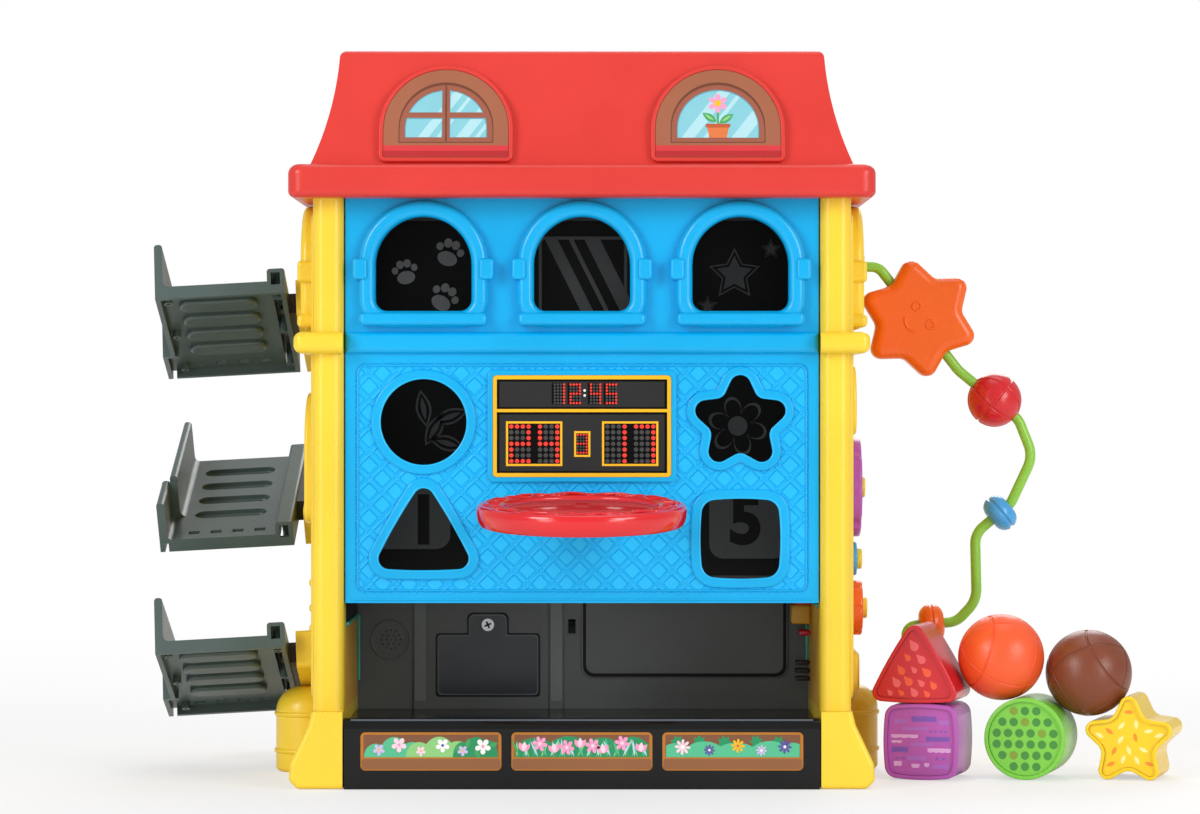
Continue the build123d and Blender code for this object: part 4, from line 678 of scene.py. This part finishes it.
def partition_prints():
    """Faint grey pictures on black fields behind the windows and the holes."""
    sheet = Sheet()
    for x in (-100, 0, 100):
        sheet.add(NIGHT, 1, rounded_box(x - 42, 276, x + 42, 346, 3))
    for x, z, size, turn in ((-86, 322, 6.4, -18), (-112, 310, 5.8, 12), (-90, 294, 6.4, -30)):
        paw(sheet, x, z, size, turn)
    streaked_glass(sheet)
    for x, z, r in ((96, 312, 17), (119, 328, 6.5), (79, 292, 6.5)):
        sheet.add(GHOST_DIM, 2, star(x, z, r, 0.5))
        sheet.add(NIGHT, 3, star(x, z, r * 0.88, 0.5))
        sheet.add(GHOST_DIM, 4, star(x, z, r * 0.70, 0.5))
    for x in (-98, 98):
        sheet.add(NIGHT, 1, rounded_box(x - 36, 186, x + 36, 252, 3))
        sheet.add(NIGHT, 1, rounded_box(x - 36, 112, x + 36, 184, 3))
    for x, z, turn in ((-94, 214, 60), (-84, 222, 20), (-101, 227, 100), (-86, 205, -15)):
        sheet.add(GHOST_DIM, 2, leaf(x, z, 24, 10, turn))
        sheet.add(NIGHT, 3, leaf(x, z, 20, 7, turn))
        sheet.add(GHOST_DIM, 4, leaf(x, z, 15, 3.4, turn))
    sheet.add(GHOST_DIM, 2, petals(98, 216, 19, 6, 0.45, 15, 12))
    sheet.add(NIGHT, 3, petals(98, 216, 17, 6, 0.45, 15, 12))
    sheet.add(GHOST_DIM, 4, circle(98, 216, 6.2))
    sheet.add(GHOST_DIM, 2, rounded_box(-134, 138, -84, 180, 9))
    sheet.add(GHOST_DIM, 2, rounded_box(80, 132, 130, 180, 9))
    sheet.place("partition_print", front_frame(0, PARTITION_Y, 0), "house", "inner_housing")
    numeral("numeral_one", "1", -101)
    numeral("numeral_five", "5", 103)


partition_prints()

# ---------------------------------------------------------------- printed ends of the blocks
BLOCK_TURN = radians(-16)
BLOCK_Y = -62.0
PRINT_DEPTH = 21.3
INK_VIOLET = ink("deep_violet", "7B4FB5", 0.36)
INK_MAUVE = ink("mauve", "A965C4", 0.36)
INK_PALE = ink("pale_mauve", "D9A3E0", 0.36)
INK_PINE = ink("pine", "3F8A35", 0.36)
INK_MOSS = ink("moss", "7F9A2E", 0.36)
INK_CORAL = ink("coral", "EE5A34", 0.36)
INK_ROSE = ink("rose", "E8636B", 0.36)
INK_AMBER = ink("amber", "EE8A22", 0.36)
INK_CREAM = ink("cream", "F8E596", 0.36)


def block_frames(x, z):
    """Frames of both printed ends of a block that lies on its side."""
    out = Vector((sin(BLOCK_TURN), -cos(BLOCK_TURN), 0))
    right = Vector((cos(BLOCK_TURN), sin(BLOCK_TURN), 0))
    centre = Vector((x, BLOCK_Y, z))
    near = face_frame(centre + out * PRINT_DEPTH, right, out)
    return near, face_frame(centre - out * PRINT_DEPTH, -right, -out)


def wave_band(x0, x1, z, height, waves):
    """A strip with a scalloped lower edge."""
    steps = 8 * waves
    loop = []
    for i in range(steps + 1):
        drop_by = 0.5 * abs(sin(pi * waves * i / steps))
        loop.append((x0 + (x1 - x0) * i / steps, z - height / 2 - drop_by))
    return loop + [(x1, z + height / 2), (x0, z + height / 2)]


# Bands of the purple ends: colour, ends in X, height in Z, thickness, number of waves
PURPLE_BANDS = (
    (INK_MAUVE, -17, -9, 12.5, 2.4, 2), (INK_MAUVE, 11, 17.5, 12.0, 2.6, 2),
    (INK_MAUVE, -12, 4, 8.0, 1.6, 4), (INK_VIOLET, -6, 9.5, 14.0, 3.0, 4),
    (INK_VIOLET, 3, 17.5, 1.8, 2.6, 4), (INK_VIOLET, -18.5, -8, -4.8, 3.0, 3),
    (INK_PALE, -18.8, -2, 3.4, 1.7, 3), (INK_PALE, 4, 18.5, -5.0, 2.2, 4),
    (INK_PALE, -18.5, -12, 0.0, 1.1, 2), (INK_MAUVE, -7, 7, -1.6, 1.6, 3),
    (INK_MAUVE, -9, 3, -10.0, 2.4, 3), (INK_MAUVE, 7, 17.5, -15.0, 2.2, 3),
    (INK_PALE, -17, -12, -13.4, 2.6, 2), (INK_PALE, -6, -1, -14.6, 2.0, 1),
    (INK_PALE, 2, 5, -14.0, 2.0, 1),
)


def purple_end(sheet):
    """Scalloped bands, dots and small stars."""
    for ink, *band in PURPLE_BANDS:
        sheet.add(ink, 1, wave_band(*band))
    for x in (6, 9, 12, 15):
        sheet.add(INK_VIOLET, 1, circle(x, 6.4, 0.8, 10))
    for x in (-15, -11, 10, 14):
        sheet.add(INK_VIOLET, 1, star(x, -10.2, 1.3, 0.5, 4, 45))


def green_end(sheet):
    """Rows of dots."""
    rows = ((17.0, 3), (10.2, 5), (3.4, 6), (-3.4, 6), (-10.2, 5), (-17.0, 3))
    for row, (z, count) in enumerate(rows):
        for i in range(count):
            x = (i - (count - 1) / 2) * 7.0
            ink = INK_MOSS if (i * 2 + row * 3) % 7 == 0 else INK_PINE
            sheet.add(ink, 1, circle(x, z, 2.6, 20))


def red_end(sheet):
    """Slanting drops."""
    spots = ((0, 16, 2.6), (-4, 9, 1.8), (4.5, 8, 2.4), (-8, 1, 2.2), (0, 1.5, 1.6), (8, 0, 2.4),
             (-11, -6.5, 2.4), (-3.5, -5.5, 2.4), (4.5, -6.5, 1.8), (12, -8, 2.0), (-15, -12.6, 1.5),
             (-8, -12.5, 1.6), (0, -12.4, 2.2), (8, -13, 1.7))
    for i, (x, z, r) in enumerate(spots):
        sheet.add(INK_CORAL if i % 2 else INK_ROSE, 1, drop(x, z, r, 125 + 6 * (i % 3)))


def yellow_end(sheet):
    """Scattered leaves."""
    spots = ((0, 18), (-4.5, 9.5), (4.5, 10.5), (-12, 6), (12, 6.5), (-5, 1), (4, 2.5), (-18, 3.5),
             (18.5, 4), (-9, -6), (0, -5.5), (9, -5), (-11, -14), (-3.5, -11), (5.0, -11.5),
             (12.5, -13.5))
    for i, (x, z) in enumerate(spots):
        sheet.add(INK_CREAM if i % 3 else INK_AMBER, 1, leaf(x, z, 6.2, 2.5, 47 * i % 180))


# Each block: node, X and Z of its axis, and what its ends show
BLOCK_ENDS = (("purple_block", 213.0, 23.35, purple_end), ("green_block", 276.5, 25.1, green_end),
              ("yellow_block", 340.0, 23.49, yellow_end), ("red_block", 209.0, 65.3, red_end))
for node, x, z, fill in BLOCK_ENDS:
    for end, matrix in zip(("near", "far"), block_frames(x, z)):
        end_sheet = Sheet()
        fill(end_sheet)
        end_sheet.place(f"{node}_{end}_print", matrix, node, f"{node}_plates")

# ---------------------------------------------------------------- quilted relief of the sorter panel
QUILT_PITCH = 11.17
QUILT_CENTRE = (-1.4, 185.1)
QUILT_FLOOR = -128.6
QUILT_REACH = (141.0, 74.0)
# Cross-section of one band and the pads beside it: place as a share of the pitch, and height
BAND = ((-0.5, 0.62), (-0.19, 0.62), (-0.165, 0.3), (-0.135, 1.1), (-0.095, 1.1),
        (-0.065, 0.5), (0.065, 0.5), (0.095, 1.1), (0.135, 1.1), (0.165, 0.3), (0.19, 0.62))
BAND_HALF = 0.18             # the pads begin beyond this share


def quilt():
    """Crossing double ridges with raised pads between them, wherever the panel's quilt floor is open;
    the relief is drawn in a lighter blue than the panel, as painted light.
    """
    panel = nodes["sorter_panel"].data
    tree = BVHTree.FromPolygons([v.co for v in panel.vertices], [p.vertices[:] for p in panel.polygons])
    cells = int(sum(QUILT_REACH) / sqrt(2) / QUILT_PITCH) + 2
    lines = [((i + share) * QUILT_PITCH, height, abs(share) < BAND_HALF)
             for i in range(-cells, cells + 1) for share, height in BAND]
    mesh = bmesh.new()
    verts, open_floor = {}, {}

    def spot(i, j):
        p, q = lines[i][0], lines[j][0]
        return QUILT_CENTRE[0] + (p + q) / sqrt(2), QUILT_CENTRE[1] + (p - q) / sqrt(2)

    def on_floor(i, j):
        if (i, j) not in open_floor:
            x, z = spot(i, j)
            hit = tree.ray_cast(Vector((x, -200, z)) * MM, Vector((0, 1, 0)))[0]
            open_floor[i, j] = hit is not None and abs(hit.y / MM - QUILT_FLOOR) < 0.1
        return open_floor[i, j]

    def corner(i, j):
        if (i, j) not in verts:
            (_, hp, band_p), (_, hq, band_q) = lines[i], lines[j]
            if band_p == band_q:
                height = max(hp, hq) if band_p else min(hp, hq)
            else:
                height = hp if band_p else hq
            x, z = spot(i, j)
            verts[i, j] = mesh.verts.new((x * MM, (QUILT_FLOOR - height) * MM, z * MM))
        return verts[i, j]

    for i in range(len(lines) - 1):
        for j in range(len(lines) - 1):
            x, z = spot(i, j)
            if abs(x) > QUILT_REACH[0] or abs(z - QUILT_CENTRE[1]) > QUILT_REACH[1]:
                continue
            ring = ((i, j), (i + 1, j), (i + 1, j + 1), (i, j + 1))
            if any(on_floor(*c) for c in ring):
                mesh.faces.new([corner(*c) for c in ring])
    # The back and the sides are built in order, because an extrude lists its faces in no fixed order
    front = mesh.faces[:]
    rim = [loop for face in front for loop in face.loops if len(loop.edge.link_faces) == 1]
    back_y = (QUILT_FLOOR + 0.5) * MM
    back = {vert: mesh.verts.new((vert.co.x, back_y, vert.co.z)) for vert in mesh.verts[:]}
    for face in front:
        mesh.faces.new([back[vert] for vert in reversed(face.verts)])
    for loop in rim:
        near, far = loop.vert, loop.link_loop_next.vert
        mesh.faces.new((far, near, back[near], back[far]))
    bmesh.ops.recalc_face_normals(mesh, faces=mesh.faces)
    finish("quilt_relief", mesh, [BLUE_PAINTED_LIGHTER], "house")


quilt()


# ---------------------------------------------------------------- round bars along a path
def bar(name, points, radius, material, body, cyclic=False):
    """A bar of round section through points in millimetres, capped at open ends."""
    curve = bpy.data.curves.new(name, "CURVE")
    curve.dimensions = "3D"
    curve.bevel_depth = radius * MM
    curve.bevel_resolution = 2
    curve.use_fill_caps = True
    spline = curve.splines.new("NURBS")
    spline.points.add(len(points) - 1)
    for point, place in zip(spline.points, points):
        point.co = (*(Vector(place) * MM), 1.0)
    spline.order_u = 3
    spline.use_endpoint_u = not cyclic
    spline.use_cyclic_u = cyclic
    mesh = curve_mesh(name, curve, material)
    for polygon in mesh.polygons:
        polygon.use_smooth = True
    return settle(name, mesh, body)


def along(matrix, points):
    """Points given on a face, brought to the row frame in millimetres."""
    return [(matrix @ (Vector(p) * MM)) / MM for p in points]


def lathe(name, profile, matrix, material, body, steps=144):
    """A closed profile of radius and height, in millimetres, turned about the local Z axis."""
    mesh = bmesh.new()
    rings = []
    for i in range(steps):
        a = 2 * pi * i / steps
        rings.append([mesh.verts.new((r * cos(a) * MM, r * sin(a) * MM, z * MM)) for r, z in profile])
    for near, far in zip(rings, rings[1:] + rings[:1]):
        for i in range(len(profile)):
            j = (i + 1) % len(profile)
            mesh.faces.new((near[i], far[i], far[j], near[j])).smooth = True
    bmesh.ops.recalc_face_normals(mesh, faces=mesh.faces)
    mesh.transform(matrix)
    return finish(name, mesh, [material], body)


def soft_box(name, low, high, soft, material, body):
    """A box between two corners, in millimetres, with rounded edges."""
    mesh = bmesh.new()
    x, y, z = (tuple(v * MM for v in pair) for pair in zip(low, high))
    corners = ((0, 0), (1, 0), (1, 1), (0, 1))
    verts = [mesh.verts.new((x[i], y[j], z[k])) for k in (0, 1) for i, j in corners]
    for ring in ((3, 2, 1, 0), (4, 5, 6, 7), (0, 1, 5, 4), (1, 2, 6, 5), (2, 3, 7, 6), (3, 0, 4, 7)):
        mesh.faces.new([verts[i] for i in ring])
    bmesh.ops.bevel(mesh, geom=mesh.edges[:], offset=soft * MM, segments=3, profile=0.5, affect="EDGES")
    for face in mesh.faces:
        face.smooth = True
    return finish(name, mesh, [material], body)


def rounded_path(half_x, half_z, r, y, z):
    """A rounded rectangle as a path on a front face."""
    return [(u, y, z + v) for u, v in rounded_box(-half_x, -half_z, half_x, half_z, r, 6)]


def edge_loops(node, level):
    """Closed edges of a CAD node where the face at this Y, in millimetres, turns into an opening."""
    data = nodes[node].data
    sharp = {}
    for polygon in data.polygons:
        keys = [tuple(round(v / MM, 2) for v in data.vertices[i].co) for i in polygon.vertices]
        for a, b in zip(keys, keys[1:] + keys[:1]):
            if abs(a[1] - level) < 0.02 and abs(b[1] - level) < 0.02 and a != b:
                sharp.setdefault(frozenset((a, b)), []).append(abs(polygon.normal.y))
    follow = {}
    for edge, turns in sharp.items():
        if max(turns) > 0.99 and min(turns) < 0.1:
            a, b = tuple(edge)
            follow.setdefault(a, []).append(b)
            follow.setdefault(b, []).append(a)
    loops = []
    while follow:
        here = min(follow)
        loop = [here]
        while here in follow:
            steps = [p for p in follow.pop(here) if p in follow]
            if not steps:
                break
            here = min(steps) if len(loop) == 1 else steps[0]
            loop.append(here)
        if len(loop) > 12:
            loops.append(loop)
    return loops


# Rolled edges of the four sorting holes, on the tops of their rims, drawn in the lighter blue as a
# painted highlight
RIM_TOP = -131.2
for index, loop in enumerate(edge_loops("sorter_panel", RIM_TOP)):
    path = [(x, y + 0.35, z) for x, y, z in loop]
    bar(f"hole_bead_{index + 1}", path, 0.7, BLUE_PAINTED_LIGHTER, "house", cyclic=True)

# Raised line round the quilted field, and the rolled lower edge of the panel
EDGE_REACH = range(-138, 139, 12)
border = rounded_path(134.6, 67.6, 5.0, -129.3, 185.4)
bar("quilt_border", border, 0.75, BLUE, "house", cyclic=True)
lower_edge = [(x, -129.6, 112.4) for x in EDGE_REACH]
bar("panel_lower_bead", lower_edge, 0.9, BLUE, "house")

# ---------------------------------------------------------------- details of the bay
BAY_WALL_X = 142.8
BAY_SIDE = (8.6, 110.8)      # back and front end of a side panel, from the house's middle
LINER_FOOT = 46.5
TEAL_WIDTH = 2.0
LINER_TOP = {"left": 97.0, "right": 108.0}
DOOR_CENTRE = (-60.2, 64.6)
DOOR_SCREW_Z = 90.06
RIB_PLACES = (-102.9, -16.8)
SIGN_CENTRE = (64.4, 88.3)
SPEAKER_CENTRE = (-121.6, 80.6)


def bay_print(label, side):
    """Dark upper part, green top line and green edge of an inner side panel."""
    top = LINER_TOP[label]
    back = -side * BAY_SIDE[0]
    low, high = sorted((back, side * BAY_SIDE[1]))
    inner = back + side * TEAL_WIDTH
    sheet = Sheet()
    sheet.add(NIGHT, 1, rounded_box(low, top, high, 340.0))
    sheet.add(TEAL, 1, rounded_box(min(back, inner), LINER_FOOT, max(back, inner), top - 2.2))
    sheet.add(TEAL, 2, rounded_box(low, top - 2.2, high, top))
    matrix = face_frame((side * BAY_WALL_X, 0, 0), (0, -side, 0), (-side, 0, 0))
    sheet.place(f"{label}_bay_print", matrix, "house", f"{label}_wall_liner")


def bay_edge(label, side):
    """Rounded top edge of an inner side panel, which turns down at its back."""
    x, top = side * (BAY_WALL_X - 1.0), LINER_TOP[label]
    edge = [(x, -109.0 + 11.5 * i, top) for i in range(11)]
    edge += [(x, 7.0, top - 1.5 - 8.0 * i) for i in range(6)]
    bar(f"{label}_bay_edge", edge, 0.9, TEAL, "house")


for make in (bay_print, bay_edge):
    make("left", -1)
    make("right", 1)

# Catch and clips on the right side: name, near low corner in X, Y and Z, far end in Y, top, edge
BAY_PIECES = (
    # The catch is yellow plastic, darkened as painted shade.
    ("bay_catch", 130.5, -22, 92, -2, 104, 1.6, YELLOW_PAINTED_SHADE),
    ("bay_catch_red_upper", 132.5, -20, 103.4, -4, 107.2, 1.0, BEAD_RED),
    ("bay_catch_red_lower", 135.5, -18, 84.6, -5, 88.2, 1.0, BEAD_RED),
    ("bay_clip_1", 133.5, -12, 56.0, -3, 58.6, 0.8, CLIP),
    ("bay_clip_2", 133.5, -12, 61.0, -3, 63.6, 0.8, CLIP),
    ("bay_clip_3", 133.5, -12, 66.0, -3, 68.6, 0.8, CLIP),
)
for name, x, y, z, far, top, soft, look in BAY_PIECES:
    soft_box(name, (x, y, z), (142.7, far, top), soft, look, "house")


def door_loop(inset):
    """Outline of the battery door and its screw tab, drawn in from the edge."""
    half_x, low, high = 32.85 - inset, -20.0 + inset, 20.0 - inset
    tab_half, tab_top = 13.0 - inset, 33.0 - inset
    loop = rounded_box(-half_x, low, half_x, high, 2.4)
    right_side, left_side = loop[:12], loop[12:]
    tab = rounded_box(-tab_half, high - 6, tab_half, tab_top, 3.6)[6:18]
    return right_side + [(tab_half, high)] + tab + [(-tab_half, high)] + left_side


def cross_loop(arm, reach):
    """A plus sign with arms of half width arm."""
    quarter = [(arm, arm), (reach, arm), (reach, -arm)]
    loop = []
    for _ in range(4):
        loop += quarter
        quarter = [(v, -u) for u, v in quarter]
    return loop[::-1]


def bay_prints():
    """Bevelled door face with a dark joint and a painted highlight on its bevel, a screw cross painted
    as shade, ribs with painted light on their faces and a painted shadow round the blank sign.
    """
    door = Sheet()
    # A dark joint, then a painted highlight on the bevel, then the dark door face.
    for level, (look, inset) in enumerate(((BLACK_AND_PAINTED_SHADOW, 0.1), (GREY_PAINTED_HIGHLIGHT, 0.9), (DOOR_DARK, 1.7))):
        door.add(look, level + 1, door_loop(inset))
    x, z = DOOR_CENTRE
    door.place("battery_door_face", front_frame(x, PARTITION_Y - 0.4, z), "battery_door", "battery_door")
    # The screw's cross recess is a flat dark sheet: painted shade.
    cross = Sheet()
    cross.add(BLACK_AND_PAINTED_SHADOW, 1, cross_loop(0.55, 2.3))
    matrix = front_frame(x, PARTITION_Y - 1.8, DOOR_SCREW_Z) @ Matrix.Rotation(radians(24), 4, "Z")
    cross.place("door_screw_cross", matrix, "battery_door", "battery_door_screw")
    ribs = Sheet()
    for x in RIB_PLACES:
        ribs.add(DARK_GREY_PAINTED_LIT, 1, rounded_box(x - 3.6, 42.0, x + 3.6, 111.4))
    ribs.place("bay_rib_faces", front_frame(0, PARTITION_Y - 1.6, 0), "house", "inner_housing")
    # A near-black outline round the sign field: painted shadow.
    sign = Sheet()
    sign.add(BLACK_AND_PAINTED_SHADOW, 1, rounded_box(-64.4, -31.2, 64.4, 31.2, 6.4))
    sign.add(DARK, 2, rounded_box(-62.4, -29.0, 62.4, 33.0, 5.4))
    x, z = SIGN_CENTRE
    sign.place("bay_sign_field", front_frame(x, PARTITION_Y - 1.2, z), "house", "inner_housing")


bay_prints()
# Ring round the speaker in the lighter housing grey: painted light on its raised edge.
surround = [(SPEAKER_CENTRE[0] + 12.4 * cos(radians(a)), PARTITION_Y - 0.3,
             SPEAKER_CENTRE[1] + 12.4 * sin(radians(a))) for a in range(0, 360, 15)]
bar("speaker_surround", surround, 0.7, DARK_GREY_PAINTED_LIT, "house", cyclic=True)
# Highlight along the black base's front edge, painted in lighter grey.
base_edge = [(x, -143.9, 41.1) for x in EDGE_REACH]
bar("base_front_bead", base_edge, 0.7, GREY_PAINTED_HIGHLIGHT, "house")

# ---------------------------------------------------------------- hoop
HOOP_CENTRE = (0, -195.5, 165.0)
HOOP_TILT = radians(5)
# Section of the ring: radius and height, from its inner edge over the lip and down the skirt
HOOP_PROFILE = [
    (45.0, 3.8), (45.0, 5.0), (45.5, 5.9), (46.6, 6.4), (48.2, 6.3), (50.0, 5.9), (54.0, 5.9),
    (56.4, 6.2), (58.6, 6.4), (60.2, 6.0), (61.1, 5.0), (61.5, 3.4), (61.5, 1.2), (61.2, -1.4),
    (60.5, -3.8), (59.4, -5.7), (58.6, -6.4), (57.8, -6.5), (57.2, -5.9), (58.3, -2.2),
    (58.5, 0.4), (57.8, 2.2), (56.2, 2.9), (47.0, 3.1)]


def hoop():
    """Moulded ring and arm, with a wavy bead and a netted band on the lip."""
    matrix = Matrix.Translation(Vector(HOOP_CENTRE) * MM) @ Matrix.Rotation(HOOP_TILT, 4, "X")
    hoop_ring = lathe("hoop_ring", HOOP_PROFILE, matrix, HOOP_RED, "house")
    hoop_arm = soft_box("hoop_arm", (-17, -137.4, 166.4), (17, -123.6, 174.3), 1.8, HOOP_RED,
                        "house")
    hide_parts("hoop")
    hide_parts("hoop")
    wave, net = [], []
    for step in range(144):
        a = 2 * pi * step / 144
        wave.append((55.4 * cos(a), 55.4 * sin(a), 6.35 + 0.5 * sin(12 * a)))
    for step in range(192):
        a = 2 * pi * step / 192
        reach = 53.0 + 4.6 * sin(16 * a)
        net.append((reach * cos(a), reach * sin(a), 6.3))
    for name, path in (("hoop_rim_bead", wave), ("hoop_rim_net", net)):
        bar(name, along(matrix, path), 0.9, HOOP_RED, "house", cyclic=True)


hoop()

# ---------------------------------------------------------------- embossed faces and swirls
SUN_CENTRE = (211.75, 283.75)
SUN_FACE = 12.0              # from the middle of the bead to its flat sides
FACE_TURN = radians(-53)
SPINNER_FACE = (171.8, -30, 178)


def sun_face(label, side):
    """A smile and two eyes, tilted to the bead's right."""
    x, z = SUN_CENTRE
    frame_here = face_frame((x, side * SUN_FACE, z), (-side, 0, 0), (0, side, 0))
    matrix = frame_here @ Matrix.Rotation(FACE_TURN, 4, "Z")
    smile = []
    for degrees in range(-66, 67, 11):
        a = radians(degrees)
        smile.append((6.0 * sin(a) - 0.5, -5.0 - 4.6 * cos(a), 0.0))
    bar(f"sun_smile_{label}", along(matrix, smile), 0.8, SUN_ORANGE, "sun_bead")
    for place, eye in (("left", -1), ("right", 1)):
        ring = []
        for degrees in range(0, 360, 20):
            a = radians(degrees)
            ring.append((eye * 7.2 + 2.7 * cos(a), 3.0 + 2.7 * sin(a), 0.0))
        name = f"sun_eye_{label}_{place}"
        bar(name, along(matrix, ring), 0.65, SUN_ORANGE, "sun_bead", cyclic=True)


sun_face("near", -1)
sun_face("far", 1)

spinner_matrix = face_frame(SPINNER_FACE, (0, 1, 0), (1, 0, 0))
for arm in range(4):
    path = []
    for step in range(14):
        a = radians(90 * arm + 13 * step)
        reach = 9.5 + 0.62 * step
        path.append((reach * cos(a), reach * sin(a), 0.1))
    name = f"spinner_swirl_{arm + 1}"
    bar(name, along(spinner_matrix, path), 0.9, SWIRL, "purple_spinner")

# ---------------------------------------------------------------- floor, light and camera
floor_mesh = bpy.data.meshes.new("floor")
floor_mesh.from_pydata([(-8, -8, 0), (8, -8, 0), (8, 8, 0), (-8, 8, 0)], [], [(0, 1, 2, 3)])
floor = bpy.data.objects.new("floor", floor_mesh)
floor.location.z = -0.0002
bpy.context.scene.collection.objects.link(floor)

paper = bpy.data.materials.new("white_paper")
paper.use_nodes = True
tree = paper.node_tree
link = tree.links.new
shader = tree.nodes["Principled BSDF"]
put(shader, {"Base Color": (0.9, 0.9, 0.9, 1), "Roughness": 0.7})
glow = tree.nodes.new("ShaderNodeEmission")
put(glow, {"Strength": 1.0})
mix = tree.nodes.new("ShaderNodeMixShader")
ray = tree.nodes.new("ShaderNodeLightPath")
place = tree.nodes.new("ShaderNodeTexCoord")
reach = tree.nodes.new("ShaderNodeVectorMath")
reach.operation = "LENGTH"
link(place.outputs["Object"], reach.inputs[0])
fade = tree.nodes.new("ShaderNodeMapRange")
put(fade, {"From Min": 0.5, "From Max": 1.7, "To Min": 0.55, "To Max": 1.0})
link(reach.outputs["Value"], fade.inputs["Value"])
scale = tree.nodes.new("ShaderNodeMath")
scale.operation = "MULTIPLY"
link(ray.outputs["Is Camera Ray"], scale.inputs[0])
link(fade.outputs["Result"], scale.inputs[1])
link(scale.outputs["Value"], mix.inputs["Fac"])
link(shader.outputs["BSDF"], mix.inputs[1])
link(glow.outputs["Emission"], mix.inputs[2])
link(mix.outputs["Shader"], tree.nodes["Material Output"].inputs["Surface"])
floor_mesh.materials.append(paper)

world = bpy.data.worlds.new("studio")
bpy.context.scene.world = world
world.use_nodes = True
tree = world.node_tree
link = tree.links.new
background = tree.nodes["Background"]
put(background, {"Color": (1, 1, 1, 1)})
ray = tree.nodes.new("ShaderNodeLightPath")
seen = tree.nodes.new("ShaderNodeMath")
seen.operation = "MAXIMUM"
link(ray.outputs["Is Camera Ray"], seen.inputs[0])
link(ray.outputs["Is Transmission Ray"], seen.inputs[1])
level = tree.nodes.new("ShaderNodeMapRange")
put(level, {"To Min": 0.5, "To Max": 1.0})
link(seen.outputs["Value"], level.inputs["Value"])
link(level.outputs["Result"], background.inputs["Strength"])


def lamp(name, place, size, power):
    """A square soft light aimed at the house."""
    data = bpy.data.lights.new(name, "AREA")
    data.energy = power
    data.size = size
    obj = bpy.data.objects.new(name, data)
    obj.location = place
    obj.rotation_euler = (AIM - Vector(place)).to_track_quat("-Z", "Y").to_euler()
    bpy.context.scene.collection.objects.link(obj)


AIM = Vector((0, 0, 0.2))
LAMPS = (("key_light", (-2.3, -2.3, 1.8), 1.3, 44), ("fill_light", (2.3, -2.3, 1.4), 1.3, 34),
         ("low_left_light", (-1.8, -2.4, 0.45), 0.8, 9),
         ("low_right_light", (1.8, -2.4, 0.45), 0.8, 9),
         ("top_light", (0.2, 0.4, 2.4), 1.5, 10), ("back_light", (0.4, 2.4, 1.6), 1.4, 22))
for row in LAMPS:
    lamp(*row)

camera_data = bpy.data.cameras.new("camera")
camera_data.lens = 125.0
camera_data.sensor_width = 36.0
camera = bpy.data.objects.new("camera", camera_data)
camera.location = (0.0108, -2.63, 0.228)
camera.rotation_euler = (pi / 2, 0, 0)
bpy.context.scene.collection.objects.link(camera)
bpy.context.scene.camera = camera
bpy.context.scene.view_settings.view_transform = "Standard"
